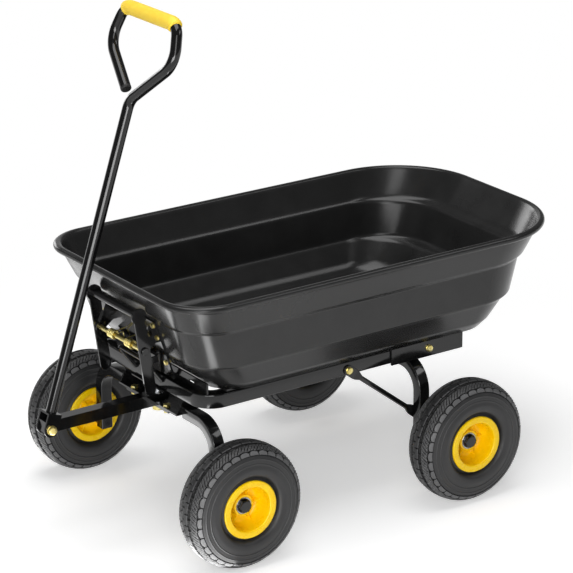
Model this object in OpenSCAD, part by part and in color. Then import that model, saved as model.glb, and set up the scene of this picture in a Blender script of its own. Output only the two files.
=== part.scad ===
// Tipping garden dump cart: a moulded tub that tips over its rear axle, on a tube chassis with
// a steered front axle, a folding pull handle and four pneumatic wheels.
// Millimetres. X points forward, Y to the cart's left, Z up, and the floor is z = 0.

/* [Wheels] */
// Outside diameter of a tyre
tyre_d = 260; // [245:5:275]
// Width of a tyre
tyre_w = 85; // [80:1:90]
// Thickness of a tyre's wall
tyre_wall = 7; // [5:1:9]
// Outside diameter of the rim flanges
rim_flange_d = 121; // [116:1:126]
// Diameter of the drum that the tyre sits on
rim_seat_d = 100; // [96:1:104]
// Width over the rim flanges
rim_w = 78; // [74:1:79]
// Thickness of the rim's plastic walls
rim_wall = 4; // [3:0.5:5]
// Number of ribs on each face of a rim
rim_ribs = 6; // [5:1:8]
// Outside diameter of the hub
hub_d = 44; // [42:1:48]
// Length of the hub
hub_w = 43; // [40:1:46]
// How far the hub's middle lies inside the wheel's middle plane
hub_set_back = 8.5; // [6:0.5:10]
// Outside diameter of a wheel bearing
bearing_d = 35; // [32:1:37]
// Width of a wheel bearing
bearing_w = 11; // [9:1:13]
// Diameter of a valve stem
valve_d = 8; // [6:1:9]
// Length of a valve stem
valve_l = 18; // [14:1:22]
// Distance between the front and rear axles
wheelbase = 558; // [540:2:580]
// Distance between the middle planes of the left and right wheels
track = 595; // [590:1:610]
// Diameter of the stub axles
axle_d = 16; // [14:1:18]
// Diameter of the shoulder that a wheel bears against
axle_shoulder_d = 24; // [20:1:28]
// Thickness of an axle nut
axle_nut_h = 8; // [6:1:9]

/* [Frame] */
// Side of the square frame tube
rail_size = 30; // [28:1:32]
// Wall of the frame tube
rail_wall = 2; // [1.5:0.5:3]
// Width over the two rails
frame_w = 406; // [400:1:408]
// Height of the frame's top face above the floor
frame_top_z = 324; // [318:1:335]
// Centreline radius of the frame's front corners
frame_bend_r = 35; // [30:1:45]
// How far the frame's front face stands ahead of the front axle
frame_nose = 20; // [17:1:24]
// How far the tub's hinge stands ahead of the rear axle
tub_hinge_ahead = 28; // [24:1:34]
// Place of the cross member along the frame
cross_member_x = 20; // [-40:5:80]
// Side of the square cross member
cross_member_size = 25; // [20:1:28]
// Thickness of the bent steel plates
plate_t = 4; // [3:0.5:5]
// Width of the upright front plate
front_plate_w = 380; // [330:5:385]
// Height of the upright front plate
front_plate_h = 23; // [18:1:23]
// How far the front plate stands behind the frame's front face
front_plate_back = 16; // [11:1:16]
// Diameter of the kingpin
kingpin_d = 16; // [14:1:18]
// Length of the plate under the frame that the kingpin passes
kingpin_plate_l = 50; // [44:1:54]
// Width of the plate under the frame that the kingpin passes
kingpin_plate_w = 120; // [90:5:150]
// Thickness of the plate under the frame
kingpin_plate_t = 3; // [2:0.5:4]

/* [Axle legs] */
// Side of the square leg tube
leg_size = 25; // [24:1:27]
// Wall of the leg tube
leg_wall = 2; // [1.5:0.5:3]
// Free gap between a leg and the tyre beside it
leg_tyre_gap = 25; // [22.5:0.5:26]
// Centreline radius of the bends in the legs
leg_bend_r = 55; // [45:1:65]
// How far the rear arch stands ahead of the rear axle
rear_arch_ahead = 54; // [50:1:60]
// Thickness of the seats between the rear arch and the rails
arch_seat_t = 5; // [4:0.5:7]
// Length of those seats along the rails
arch_seat_l = 44; // [36:1:54]
// Distance between the inner ends of those seats
arch_seat_gap = 240; // [200:5:280]

/* [Braces] */
// Diameter of the brace tubes
brace_d = 11; // [10:1:13]
// Width of the braces' flat ends
brace_tab_w = 22; // [20:1:24]
// Length of each flat end, from its bolt
brace_tab_l = 36; // [36:1:46]
// Place of the upper brace bolt along the frame
brace_top_x = -49; // [-60:1:-35]
// Depth of the upper brace bolt below the frame's top
brace_top_drop = 19; // [17:0.5:20]
// Height of the lower brace bolt above the axle
brace_low_rise = 38; // [32:1:46]

/* [Front axle] */
// Length of the turning bracket along the cart
bracket_l = 53; // [48:1:58]
// Width of the turning bracket
bracket_w = 220; // [200:2:230]
// Height of the turning bracket
bracket_h = 32; // [30:1:36]
// Free height between the turning bracket and the plate above it
bracket_gap = 2; // [1:0.5:3]
// How far the kingpin lies behind the middle of the bracket's plate
bracket_lead = 0; // [-2:0.5:2]
// Height of the front legs' middle above the bracket's underside
front_leg_rise = 5; // [3:0.5:9]
// Distance between the two bracket bolts
bracket_bolt_gap = 124; // [100:2:140]

/* [Tongue] */
// Side of the square tongue tube
tongue_size = 25; // [22:1:26]
// Wall of the tongue tube
tongue_wall = 2; // [1.5:0.5:3]
// Distance from the kingpin to the handle's pivot
tongue_reach = 259; // [240:1:280]
// How far the tongue reaches past the handle's pivot
tongue_nose = 10; // [8:1:12]
// How far the handle's pivot lies below the middle of the tongue
pivot_drop = 5; // [2:0.5:6]
// Width of the tongue's foot plate
foot_w = 160; // [140:2:180]
// Length of the tongue's foot plate
foot_l = 44; // [38:1:48]

/* [Handle] */
// Diameter of the handle tube
handle_d = 22; // [20:1:24]
// Wall of the handle tube
handle_wall = 1.5; // [1:0.25:2.5]
// How far the standing handle leans back from upright, in degrees
handle_lean = 18.3; // [16:0.1:20]
// Length of the straight shaft, from the pivot to the loop
shaft_l = 671; // [620:1:720]
// Height of the loop's widest corners above the end of the shaft
loop_low_h = 97; // [88:1:106]
// Height of the loop above its widest corners
loop_high_h = 73; // [66:1:90]
// Width of the loop between its widest corners
loop_w = 236; // [220:2:260]
// Width of the loop between the corners of its top bar
loop_top_w = 190; // [182:1:210]
// Bend radius where the shaft turns into the loop
neck_bend_r = 35; // [30:1:45]
// Bend radius at the loop's widest corners
wide_bend_r = 50; // [40:1:52]
// Bend radius at the ends of the top bar
top_bend_r = 30; // [26:1:34]
// Free gap between the loop's end and the middle of the shaft
loop_end_gap = 25; // [22:1:40]
// Outside diameter of the grip
grip_d = 30; // [27:1:34]
// How many sixths of the top bar's end bends the grip wraps
grip_wrap_steps = 3; // [0:1:5]
// Length of the plug's cap at the loop's free end
end_plug_l = 6; // [4:1:10]
// Free width between the fork's cheeks
fork_gap = 27; // [26.5:0.5:30]
// Width of the strip that the fork is bent from
fork_strip_w = 31; // [28:1:34]
// Height of the fork's top above the pivot
fork_rise = 33; // [31:1:40]
// Diameter of the handle's pivot bolt
pivot_bolt_d = 10; // [8:1:12]

/* [Tub] */
// How far the lip reaches behind the rear axle
lip_behind = 308; // [300:1:316]
// Width over the tub's lip
lip_w = 576; // [566:2:590]
// Height of the middle of the lip above the floor
lip_z = 535; // [528:1:545]
// How far the lip reaches ahead of the front axle
lip_ahead = 108; // [100:1:112]
// Diameter of the rolled bead round the lip
bead_d = 15; // [12:1:18]
// Thickness of the tub's wall
tub_wall = 4; // [3:0.5:5]
// Corner radius of the lip at the front
lip_front_r = 95; // [80:1:100]
// Corner radius of the lip at the rear
lip_rear_r = 191; // [180:1:200]
// Height of the sloped edge round the tub's floor
floor_edge_h = 18; // [14:1:22]
// Height of the lower step above the tub's underside
low_band_h = 61; // [55:1:66]
// Height of the middle band, between the two steps
mid_band_h = 76; // [70:1:80]
// Height of each step
step_h = 6; // [4:0.5:8]
// Inset from the lip to the floor at the front, the sides and the rear
floor_inset = [125, 77, 162]; // [70:1:170]
// Inset from the lip to the top of the floor's edge
edge_inset = [111, 62, 146]; // [55:1:150]
// Inset from the lip to the underside of the lower step
low_inset = [70, 42.5, 113.5]; // [40:0.5:120]
// Inset from the lip to the foot of the middle band
mid_foot_inset = [65.5, 39, 91.5]; // [36:0.5:95]
// Inset from the lip to the head of the middle band
mid_head_inset = [39.5, 33, 64.5]; // [30:0.5:68]
// Inset from the lip to the foot of the upper band
top_foot_inset = [35, 28.5, 46.5]; // [26:0.5:50]
// Inset from the lip to the head of the upper band
top_head_inset = [12, 11, 13]; // [10:0.5:14]

/* [Tub hinge] */
// Length of a hinge cheek ahead of the pivot
cheek_ahead = 95; // [80:1:110]
// Length of a hinge cheek behind the pivot
cheek_behind = 88; // [80:1:95]
// Depth of a hinge cheek below the pivot
cheek_drop = 18; // [15:0.5:20]
// Width of the hinge's flange under the tub
hinge_flange_w = 60; // [56:1:70]
// Thickness of the hinge's flange
hinge_flange_t = 2.5; // [2:0.5:4]
// Diameter of the tub's pivot bolts
hinge_bolt_d = 8; // [8:1:12]

/* [Latch] */
// Width of the latch's back plate
latch_w = 214; // [206:2:224]
// Reach of the back plate above the middle of the tub's middle band
latch_up = 36; // [32:1:38]
// Reach of the back plate below the middle of the tub's middle band
latch_down = 100; // [85:1:100]
// Distance of the lever's pivot from the tub's wall
rod_out = 35; // [33:0.5:38]
// Depth of the lever's pivot below the middle of the tub's middle band
rod_down = 20; // [16:1:24]
// Diameter of the lever's pivot rod
rod_d = 10; // [8:1:11]
// Distance between the inner faces of the lever's arms
lever_w = 168; // [160:1:172]
// Width of the lever's arms
lever_arm_w = 25; // [20:1:28]
// Length of the arms above the pivot
lever_up = 75; // [66:1:80]
// Length of the arms below the pivot
lever_down = 85; // [70:1:88]
// Radius of the ears at the top of the arms
lever_ear_r = 17; // [14:1:19]
// Forward lean of the arms from upright, in degrees
lever_lean = 8; // [6:0.5:10]
// Diameter of the lever's hand bar
lever_bar_d = 16; // [14:1:20]
// Half width of the hook behind the catch bar
hook_half_w = 40; // [30:1:42]
// Diameter of the catch loop's bar
catch_d = 9; // [8:0.5:10]
// Distance between the middles of the catch loop's legs
catch_w = 100; // [96:1:110]
// Bend radius of the catch loop
catch_bend_r = 12; // [9:1:16]
// Depth of the catch loop's feet below the frame's top
catch_foot_drop = 12; // [8:1:16]
// Wire diameter of the lever's springs
spring_wire = 2.4; // [2:0.1:2.6]
// Middle diameter of the springs' coils
spring_d = 17; // [16:0.5:20]
// Number of turns in each spring
spring_turns = 5; // [4:1:6]
// Distance from one spring turn to the next
spring_pitch = 3.6; // [3.2:0.1:4.4]
// Distance of each spring from the cart's middle
spring_y = 32; // [28:1:40]

/* [Fasteners and fits] */
// Diameter of the small bolts
bolt_d = 8; // [6:1:8]
// Width across the flats of the small bolts
bolt_flats = 13; // [11:0.5:14]
// Thickness of the small bolts' heads and nuts
bolt_head_h = 5; // [4:0.5:6]
// Diameter of the latch bolts
latch_bolt_d = 6; // [5:0.5:7]
// Radial clearance of turning fits
turn_fit = 0.05; // [0.02:0.01:0.09]
// Clearance between faces that slide past each other
slide_gap = 0.3; // [0.2:0.05:0.5]
// Clearance of bolts in the moulded tub's holes
tub_hole_gap = 0.3; // [0.2:0.05:0.5]

/* [Hidden] */
$fn = 48;
exact = 0.01;
steel_black = "#161616";
moulded_black = "#2b2b2b";
rubber_black = "#303032";
rim_yellow = "#f4c000";
grip_yellow = "#f8da3c";
zinc_yellow = "#cfc37a";
bearing_steel = "#8a8a8a";

// Wheels and axles
axle_x = wheelbase / 2;
axle_z = tyre_d / 2;
wheel_y = track / 2;
leg_y = wheel_y - tyre_w / 2 - leg_tyre_gap - leg_size / 2;
hub_y = wheel_y - hub_set_back;
hub_in_y = hub_y - hub_w / 2;
hub_out_y = hub_y + hub_w / 2;
seat_r = rim_seat_d / 2;
flange_r = rim_flange_d / 2;
section_r = (tyre_d + rim_seat_d) / 4;
section_h = (tyre_d - rim_seat_d) / 4;
section_w = tyre_w / 2;
sidewall_power = 0.77;
bead_half = rim_w / 2 - rim_wall - slide_gap;
bead_foot = 10;
rib_step = 6;
weld = 1;
valve_neck_l = 4;
valve_foot = 2;
valve_turn = 180 + 180 / rim_ribs;
bearing_groove = 1;
bearing_inner_ring = 2.5;
bearing_outer_ring = 3;
axle_washer_edge = 3;
axle_washer_t = 2;
tyre_steps = 28;

// Frame
rail_y = (frame_w - rail_size) / 2;
frame_z = frame_top_z - rail_size / 2;
frame_bottom_z = frame_top_z - rail_size;
frame_front_x = axle_x + frame_nose;
front_tube_x = frame_front_x - rail_size / 2;
hinge_x = tub_hinge_ahead - axle_x;
kingpin_plate_z = frame_bottom_z - kingpin_plate_t;
front_plate_x = frame_front_x - front_plate_back - plate_t;
front_slot_l = 18;
front_slot_share = 0.7;
front_slot_rise = 8;

// Rear arch and braces
arch_x = rear_arch_ahead - axle_x;
arch_top_z = frame_bottom_z - arch_seat_t;
arch_z = arch_top_z - leg_size / 2;
leg_foot_z = axle_z - leg_size / 2;
brace_top = [brace_top_x, frame_top_z - brace_top_drop];
brace_low = [arch_x, axle_z + brace_low_rise];
brace_run = norm(brace_low - brace_top);
brace_angle = atan2(brace_top.y - brace_low.y, brace_top.x - brace_low.x);
brace_blend = 10;

// Front axle and tongue
bracket_top_z = kingpin_plate_z - bracket_gap;
bracket_z = bracket_top_z - bracket_h;
bracket_back_x = axle_x + bracket_lead - bracket_l / 2;
bracket_front_x = bracket_back_x + bracket_l;
front_leg_z = bracket_z + front_leg_rise;
tongue_z = bracket_z;
tongue_top_z = tongue_z + tongue_size / 2;
tongue_tail = 9;
tongue_back_x = axle_x - kingpin_d / 2 - tongue_tail;
pivot_x = axle_x + tongue_reach;
pivot_z = tongue_z - pivot_drop;
bolt_edge = 2;
bracket_bolt_x = bracket_front_x - bolt_flats / 2 - bolt_edge;
bracket_slant = 17;
kingpin_nut_h = 13;
kingpin_nut_flats = 24;

// Handle, in its own upright frame with the pivot at the origin
loop_mid_z = shaft_l + loop_low_h;
loop_top_z = loop_mid_z + loop_high_h;
loop_slope = loop_low_h / (loop_w / 2);
loop_points = [
    [0, fork_rise],
    [0, shaft_l],
    [loop_w / 2, loop_mid_z],
    [loop_top_w / 2, loop_top_z],
    [-loop_top_w / 2, loop_top_z],
    [-loop_w / 2, loop_mid_z],
    [-loop_end_gap, shaft_l + loop_end_gap * loop_slope]
];
loop_bends = [0, neck_bend_r, wide_bend_r, top_bend_r, top_bend_r, wide_bend_r, 0];
bend_steps = 6;
tube_sides = 16;
handle_path = [for (i = [0 : len(loop_points) - 1]) each bend_points(loop_points, loop_bends, i)];
pivot_head_h = 7;
pivot_head_flats = 17;

// Tub
lip_front_x = axle_x + lip_ahead;
lip_rear_x = -axle_x - lip_behind;
bead_r = bead_d / 2;
tub_z = frame_top_z + slide_gap + hinge_flange_t;
front_corner_rate = 0.15;
rear_corner_rate = 0.68;
front_corner_steps = 8;
rear_corner_steps = 10;
mid_band_z = tub_z + low_band_h + step_h;
foot_pad_l = 100;
foot_pad_edge = 20;
foot_pad_hold = 33;
tub_levels = [
    [0, floor_inset],
    [floor_edge_h, edge_inset],
    [low_band_h, low_inset],
    [low_band_h + step_h, mid_foot_inset],
    [low_band_h + step_h + mid_band_h, mid_head_inset],
    [low_band_h + 2 * step_h + mid_band_h, top_foot_inset],
    [lip_z - bead_r - tub_z, top_head_inset]
];

// Tub hinge
cheek_in_y = frame_w / 2 + slide_gap;
cheek_out_y = cheek_in_y + plate_t;
flange_bolt_y = cheek_out_y - hinge_flange_w + bolt_flats / 2 + bolt_edge;
flange_bolt_share = 0.75;
hinge_head_h = 5;
hinge_head_flats = 13;
sink_h = bolt_head_h / 2;

// Latch, on the flat front of the tub's middle band
latch_tilt = atan2(mid_foot_inset.x - mid_head_inset.x, mid_band_h);
latch_x = lip_front_x - (mid_foot_inset.x + mid_head_inset.x) / 2;
latch_z = mid_band_z + mid_band_h / 2;
latch_wall_t = tub_wall * (cos(latch_tilt) + sin(latch_tilt));
latch_ear_r = rod_d / 2 + 6;
latch_ear_y = lever_w / 2 - slide_gap - plate_t;
latch_bolt_edge = 9;
latch_bolt_step = 38;
latch_bolt_y = latch_w / 2 - latch_bolt_edge;
latch_bolt_places = [latch_up - latch_bolt_edge, latch_up - latch_bolt_step, latch_bolt_step - latch_down];
latch_ear_top = latch_up - 10;
latch_ear_foot = 2 - rod_down;
rod_x = latch_x + rod_out * cos(latch_tilt) - rod_down * sin(latch_tilt);
rod_z = latch_z - rod_out * sin(latch_tilt) - rod_down * cos(latch_tilt);
rod_head_h = 4;

// Catch loop and hook: the bar's place in the lever's own frame sets the hook's place
catch_foot = [frame_front_x, frame_top_z - catch_foot_drop];
catch_bar_ahead = 40;
catch_bar_rise = 41;
catch_bar = [frame_front_x + catch_bar_ahead, frame_top_z + catch_bar_rise];
catch_run = norm(catch_bar - catch_foot);
catch_lean = atan2(catch_bar.x - catch_foot.x, catch_bar.y - catch_foot.y);
bar_from_rod = catch_bar - [rod_x, rod_z];
bar_x = bar_from_rod.x * cos(lever_lean) - bar_from_rod.y * sin(lever_lean);
bar_z = bar_from_rod.x * sin(lever_lean) + bar_from_rod.y * cos(lever_lean);
hook_gap = 2;
hook_tie_h = 14;
hook_reach = 6;
hook_x = bar_x - catch_d / 2 - hook_gap - plate_t;
hook_tie_z = bar_z + catch_d / 2 + hook_gap;
hook_top_z = hook_tie_z + hook_tie_h;
hook_low_z = bar_z - catch_d / 2 - hook_reach;

// Overall: the origin is on the floor, midway between the tub's rear lip and the fork's rounded front
front_end_x = pivot_x + fork_strip_w / 2;
mid_x = (front_end_x + lip_rear_x) / 2;

SIDES = ["left", "right"];
ENDS = ["front", "rear"];

// Shared shapes

// Puts the cart's origin on the floor below the middle of its overall length
module placed() translate([-mid_x, 0, 0]) children();

// Draws its children on the left and mirrored on the right
module both_sides() {
    children();
    mirror([0, 1, 0]) children();
}

// Lies along +Y from the origin: a round bar
module bar_y(d, length) rotate([-90, 0, 0]) cylinder(d = d, h = length);

// Hexagon prism along +Z, by its width across the flats
module hex(flats, h) cylinder(d = flats / cos(30), h = h, $fn = 6);

// Bolt along -Z with its head above the origin and a nut at the far end of its grip
module bolt(d, flats, head_h, grip) {
    hex(flats, head_h);
    translate([0, 0, -grip - head_h]) cylinder(d = d, h = grip + head_h + exact);
    translate([0, 0, -grip - head_h]) hex(flats, head_h);
}

// One section of a bar, centred on the origin
module section(size, is_square) {
    if (is_square) square(size, center = true);
    else circle(d = size);
}

function turn_of(p, i) =
    let (a = p[i] - p[i - 1], b = p[i + 1] - p[i])
    atan2(a.x * b.y - a.y * b.x, a * b);

function trim_of(p, r, i) =
    i == 0 || i == len(p) - 1 ? 0 : r[i] * tan(abs(turn_of(p, i)) / 2);

// The points of one bend of a route, in equal steps, or the route's own point at its two ends
function bend_points(p, r, i) =
    i == 0 || i == len(p) - 1 ? [[0, p[i].x, p[i].y]] :
    let (
        along = unit(p[i] - p[i - 1]),
        turn = turn_of(p, i),
        start = p[i] - along * trim_of(p, r, i),
        inward = sign(turn) * [-along.y, along.x],
        centre = start + inward * r[i]
    )
    [
        for (k = [0 : bend_steps])
            let (
                a = abs(turn) * k / bend_steps,
                at = centre - inward * r[i] * cos(a) + along * r[i] * sin(a)
            )
            [0, at.x, at.y]
    ];

// A bar in the XY plane along straight runs joined by round bends, its ends made longer by extra
module bent_bar(points, bends, size, is_square, extra = 0) {
    last = len(points) - 2;
    for (i = [0 : last]) {
        run = points[i + 1] - points[i];
        start = trim_of(points, bends, i) - (i == 0 ? extra : 0);
        finish = norm(run) - trim_of(points, bends, i + 1) + (i == last ? extra : 0);
        translate([points[i].x, points[i].y, 0])
            rotate([0, 0, atan2(run.y, run.x)])
                translate([start, 0, 0])
                    rotate([90, 0, 90])
                        linear_extrude(finish - start) section(size, is_square);
    }
    for (i = [1 : len(points) - 2]) {
        run = points[i] - points[i - 1];
        turn = turn_of(points, i);
        translate([points[i].x, points[i].y, 0])
            rotate([0, 0, atan2(run.y, run.x)])
                translate([-trim_of(points, bends, i), sign(turn) * bends[i], 0])
                    rotate([0, 0, turn > 0 ? -90 : 90 + turn])
                        rotate_extrude(angle = abs(turn), $fn = 96)
                            translate([bends[i], 0]) section(size, is_square);
    }
}

// Turns a shape drawn in XY so that its X lies along Y and its Y along Z
module upright_across() rotate([90, 0, 90]) children();

// Extrudes an outline drawn as (x, z) along +Y, from y
module side_plate(y, t) translate([0, y + t, 0]) rotate([90, 0, 0]) linear_extrude(t) children();

// Sweeps: a round bar or tube of flat facets along a path of points

function unit(v) = v / norm(v);

// Direction of the path at one of its points, midway between the runs before and after it
function heading(p, i) =
    i == 0 ? unit(p[1] - p[0]) :
    i == len(p) - 1 ? unit(p[i] - p[i - 1]) :
    unit(unit(p[i] - p[i - 1]) + unit(p[i + 1] - p[i]));

// A ring of points round the path, square to it and starting in the plane of the given axis
function sweep_ring(p, i, d, sides, axis) =
    let (
        along = heading(p, i),
        out = unit(cross(axis, along)),
        over = cross(along, out)
    )
    [
        for (k = [0 : sides - 1])
            let (a = 360 * k / sides)
            p[i] + d / 2 * (out * cos(a) + over * sin(a))
    ];

// Triangles between each ring and the next, where every ring has n points
function ring_sides(rings, n) = [
    for (i = [0 : rings - 2], k = [0 : n - 1])
        let (a = i * n + k, b = i * n + (k + 1) % n)
        each [[a, a + n, b + n], [a, b + n, b]]
];

// A solid bar along a path
module swept_bar(p, d, sides, axis) {
    rings = [for (i = [0 : len(p) - 1]) sweep_ring(p, i, d, sides, axis)];
    last = (len(p) - 1) * sides;
    start = [for (k = [1 : sides - 2]) [0, k, k + 1]];
    finish = [for (k = [1 : sides - 2]) [last, last + k + 1, last + k]];
    polyhedron([for (r = rings) each r], concat(ring_sides(len(rings), sides), start, finish),
        convexity = 8);
}

// A tube along a path: out along its outside, back along its bore and closed on its first ring
module swept_tube(p, d, bore, sides, axis) {
    outside = [for (i = [0 : len(p) - 1]) sweep_ring(p, i, d, sides, axis)];
    inside = [for (i = [len(p) - 1 : -1 : 0]) sweep_ring(p, i, bore, sides, axis)];
    rings = concat(outside, inside);
    n = sides;
    last = (len(rings) - 1) * n;
    closing = [
        for (k = [0 : n - 1])
            let (next = (k + 1) % n)
            each [[last + k, k, next], [last + k, next, last + next]]
    ];
    polyhedron([for (r = rings) each r], concat(ring_sides(len(rings), n), closing), convexity = 8);
}

// Wheels

function sidewall_point(a, inset) =
    let (s = sin(a), c = cos(a))
    [
        section_r + (section_h - inset) * sign(s) * pow(abs(s), sidewall_power),
        (section_w - inset) * sign(c) * pow(abs(c), sidewall_power)
    ];

function sidewall_arc(low, inset) =
    [for (i = [0 : tyre_steps]) sidewall_point(low + (180 - 2 * low) * i / tyre_steps, inset)];

function reversed(list) = [for (i = [len(list) - 1 : -1 : 0]) list[i]];

// Angle at which the sidewall meets the edge of the rim's flange
sidewall_low = -asin(pow((section_r - flange_r - slide_gap) / section_h, 1 / sidewall_power));

module tyre() {
    outside = sidewall_arc(sidewall_low, 0);
    inside = sidewall_arc(sidewall_low, tyre_wall);
    bead_r_in = seat_r + slide_gap;
    bead_r_out = (seat_r + flange_r) / 2;
    outline = concat(
        [[bead_r_in, bead_half], [bead_r_out, bead_half]],
        outside,
        [[bead_r_out, -bead_half], [bead_r_in, -bead_half], [bead_r_in, bead_foot - bead_half]],
        reversed(inside),
        [[bead_r_in, bead_half - bead_foot]]
    );
    color(rubber_black)
        rotate([90, 0, 0]) rotate_extrude($fn = 96) polygon(outline);
}

// Drum with two flanges, and a web with ribs that carries the hub, set in from the outer side
module rim() {
    half = rim_w / 2;
    bore_r = bearing_d / 2 + turn_fit;
    drum_in_r = seat_r - rim_wall;
    rib_in = hub_d / 2 - weld;
    rib_l = drum_in_r + weld - rib_in;
    rib_h = hub_w - 2 * rib_step;
    color(rim_yellow)
        rotate([90, 0, 0]) difference() {
            union() {
                rotate_extrude($fn = 96) {
                    translate([bore_r - weld, -hub_set_back - hub_w / 2])
                        square([hub_d / 2 - bore_r + weld, hub_w]);
                    translate([rib_in, -hub_set_back - rim_wall]) square([rib_l, 2 * rim_wall]);
                    translate([drum_in_r, -half]) square([rim_wall, rim_w]);
                    for (low = [-half, half - rim_wall])
                        translate([drum_in_r, low]) square([flange_r - drum_in_r, rim_wall]);
                }
                for (i = [0 : rim_ribs - 1])
                    rotate([0, 0, 360 * i / rim_ribs])
                        translate([rib_in, -rim_wall / 2, -hub_set_back - rib_h / 2])
                            cube([rib_l, rim_wall, rib_h]);
            }
            translate([0, 0, -half]) cylinder(r = bore_r, h = rim_w);
            valve_axis() cylinder(d = valve_d + 2 * turn_fit, h = rim_w);
        }
}

// Stands on the rim's web between two ribs, along the wheel's axle
module valve_axis() {
    foot_z = -hub_set_back - rim_wall - valve_foot;
    rotate([0, 0, valve_turn])
        translate([(hub_d / 2 + seat_r - rim_wall) / 2, 0, foot_z]) children();
}

module valve() {
    color(rubber_black)
        rotate([90, 0, 0]) valve_axis() {
            cylinder(d = valve_d, h = valve_l);
            translate([0, 0, valve_l]) cylinder(d = valve_d - 2, h = valve_neck_l);
        }
}

// Two bearings with a groove in each face, one at each end of the hub
module bearings() {
    bore_r = axle_d / 2 + turn_fit;
    groove_in = bore_r + bearing_inner_ring;
    groove_out = bearing_d / 2 - bearing_outer_ring;
    color(bearing_steel)
        rotate([90, 0, 0]) rotate_extrude($fn = 96)
            for (low = [-hub_w / 2 - hub_set_back, hub_w / 2 - bearing_w - hub_set_back])
                difference() {
                    translate([bore_r, low]) square([bearing_d / 2 - bore_r, bearing_w]);
                    for (face = [low - bearing_groove, low + bearing_w - bearing_groove])
                        translate([groove_in, face]) square([groove_out - groove_in, 2 * bearing_groove]);
                }
}

// Places a wheel's piece at its corner of the cart, with the valve side outward
module at_wheel(end, side) {
    placed()
        mirror([0, side == "left" ? 0 : 1, 0])
            translate([end == "front" ? axle_x : -axle_x, wheel_y, axle_z])
                rotate([0, 0, 180]) children();
}

module stub_axles(x) {
    leg_in_y = leg_y - leg_size / 2;
    leg_out_y = leg_y + leg_size / 2;
    color(steel_black)
        placed() both_sides() translate([x, 0, axle_z]) {
            translate([0, leg_in_y, 0]) bar_y(axle_d, hub_out_y + axle_nut_h - leg_in_y);
            translate([0, leg_out_y, 0]) bar_y(axle_shoulder_d, hub_in_y - slide_gap - leg_out_y);
        }
}

module axle_nuts(x) {
    flats = 1.5 * axle_d;
    color(steel_black)
        placed() both_sides()
            translate([x, hub_out_y + slide_gap, axle_z]) rotate([-90, 0, 0])
                difference() {
                    union() {
                        cylinder(d = flats + 2 * axle_washer_edge, h = axle_washer_t);
                        hex(flats, axle_nut_h);
                    }
                    translate([0, 0, -1]) cylinder(d = axle_d + 2 * turn_fit, h = axle_nut_h + 2);
                }
}

module rear_stub_axles() stub_axles(-axle_x);

module front_stub_axles() stub_axles(axle_x);

module rear_axle_nuts() axle_nuts(-axle_x);

module front_axle_nuts() axle_nuts(axle_x);

// Chassis

// One rail and half of the front tube, with a round rear end about the tub's hinge
module half_frame(size) {
    translate([0, 0, frame_z])
        bent_bar([[hinge_x, rail_y], [front_tube_x, rail_y], [front_tube_x, 0]],
            [0, frame_bend_r, 0], size, true);
    translate([hinge_x, rail_y - size / 2, frame_z]) bar_y(size, size);
}

module frame_rails() {
    inner = rail_size - 2 * rail_wall;
    color(steel_black)
        placed() difference() {
            both_sides() half_frame(rail_size);
            both_sides() half_frame(inner);
            translate([axle_x, 0, frame_bottom_z - 1])
                cylinder(d = kingpin_d + 2 * turn_fit, h = rail_size + 2);
            both_sides() {
                translate([hinge_x, rail_y - rail_size, frame_z])
                    bar_y(hinge_bolt_d + 2 * turn_fit, 2 * rail_size);
                translate([brace_top.x, rail_y, brace_top.y]) bar_y(bolt_d + 2 * turn_fit, rail_size);
            }
        }
}

module cross_member() {
    length = frame_w - 2 * rail_size;
    color(steel_black)
        placed() translate([cross_member_x, -length / 2, frame_z]) rotate([-90, 0, 0])
            linear_extrude(length) difference() {
                square(cross_member_size, center = true);
                square(cross_member_size - 2 * rail_wall, center = true);
            }
}

module front_plate() {
    slot_y = front_slot_share * front_plate_w / 2;
    color(steel_black)
        placed() translate([front_plate_x, 0, frame_top_z]) difference() {
            translate([0, -front_plate_w / 2, 0]) cube([plate_t, front_plate_w, front_plate_h]);
            both_sides()
                translate([-1, slot_y - front_slot_l / 2, front_slot_rise])
                    cube([plate_t + 2, front_slot_l, plate_t]);
        }
}

module catch_loop() {
    points = [[-catch_w / 2, -catch_d], [-catch_w / 2, catch_run], [catch_w / 2, catch_run],
        [catch_w / 2, -catch_d]];
    color(steel_black)
        placed() difference() {
            translate([catch_foot.x, 0, catch_foot.y]) rotate([0, catch_lean, 0])
                upright_across() bent_bar(points, [0, catch_bend_r, catch_bend_r, 0], catch_d, false);
            translate([frame_front_x - 4 * catch_d, -catch_w, frame_bottom_z - rail_size])
                cube([4 * catch_d, 2 * catch_w, 3 * rail_size]);
        }
}

module kingpin_plate() {
    color(steel_black)
        placed() translate([axle_x, 0, kingpin_plate_z]) difference() {
            translate([-kingpin_plate_l / 2, -kingpin_plate_w / 2, 0])
                cube([kingpin_plate_l, kingpin_plate_w, kingpin_plate_t]);
            translate([0, 0, -1]) cylinder(d = kingpin_d + 2 * turn_fit, h = kingpin_plate_t + 2);
        }
}

module kingpin() {
    low_z = tongue_z - tongue_size / 2 - slide_gap - kingpin_nut_h;
    color(steel_black)
        placed() translate([axle_x, 0, low_z]) cylinder(d = kingpin_d, h = frame_top_z - low_z);
}

module thrust_bush() {
    low_z = tongue_top_z + slide_gap;
    color(bearing_steel)
        placed() translate([axle_x, 0, low_z]) difference() {
            cylinder(d = 2 * kingpin_d, h = kingpin_plate_z - low_z);
            translate([0, 0, -1])
                cylinder(d = kingpin_d + 2 * turn_fit, h = kingpin_plate_z - low_z + 2);
        }
}

module kingpin_nut() {
    top_z = tongue_z - tongue_size / 2 - slide_gap;
    color(zinc_yellow)
        placed() translate([axle_x, 0, top_z - kingpin_nut_h]) difference() {
            hex(kingpin_nut_flats, kingpin_nut_h);
            translate([0, 0, -1]) cylinder(d = kingpin_d + 2 * turn_fit, h = kingpin_nut_h + 2);
        }
}

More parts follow.
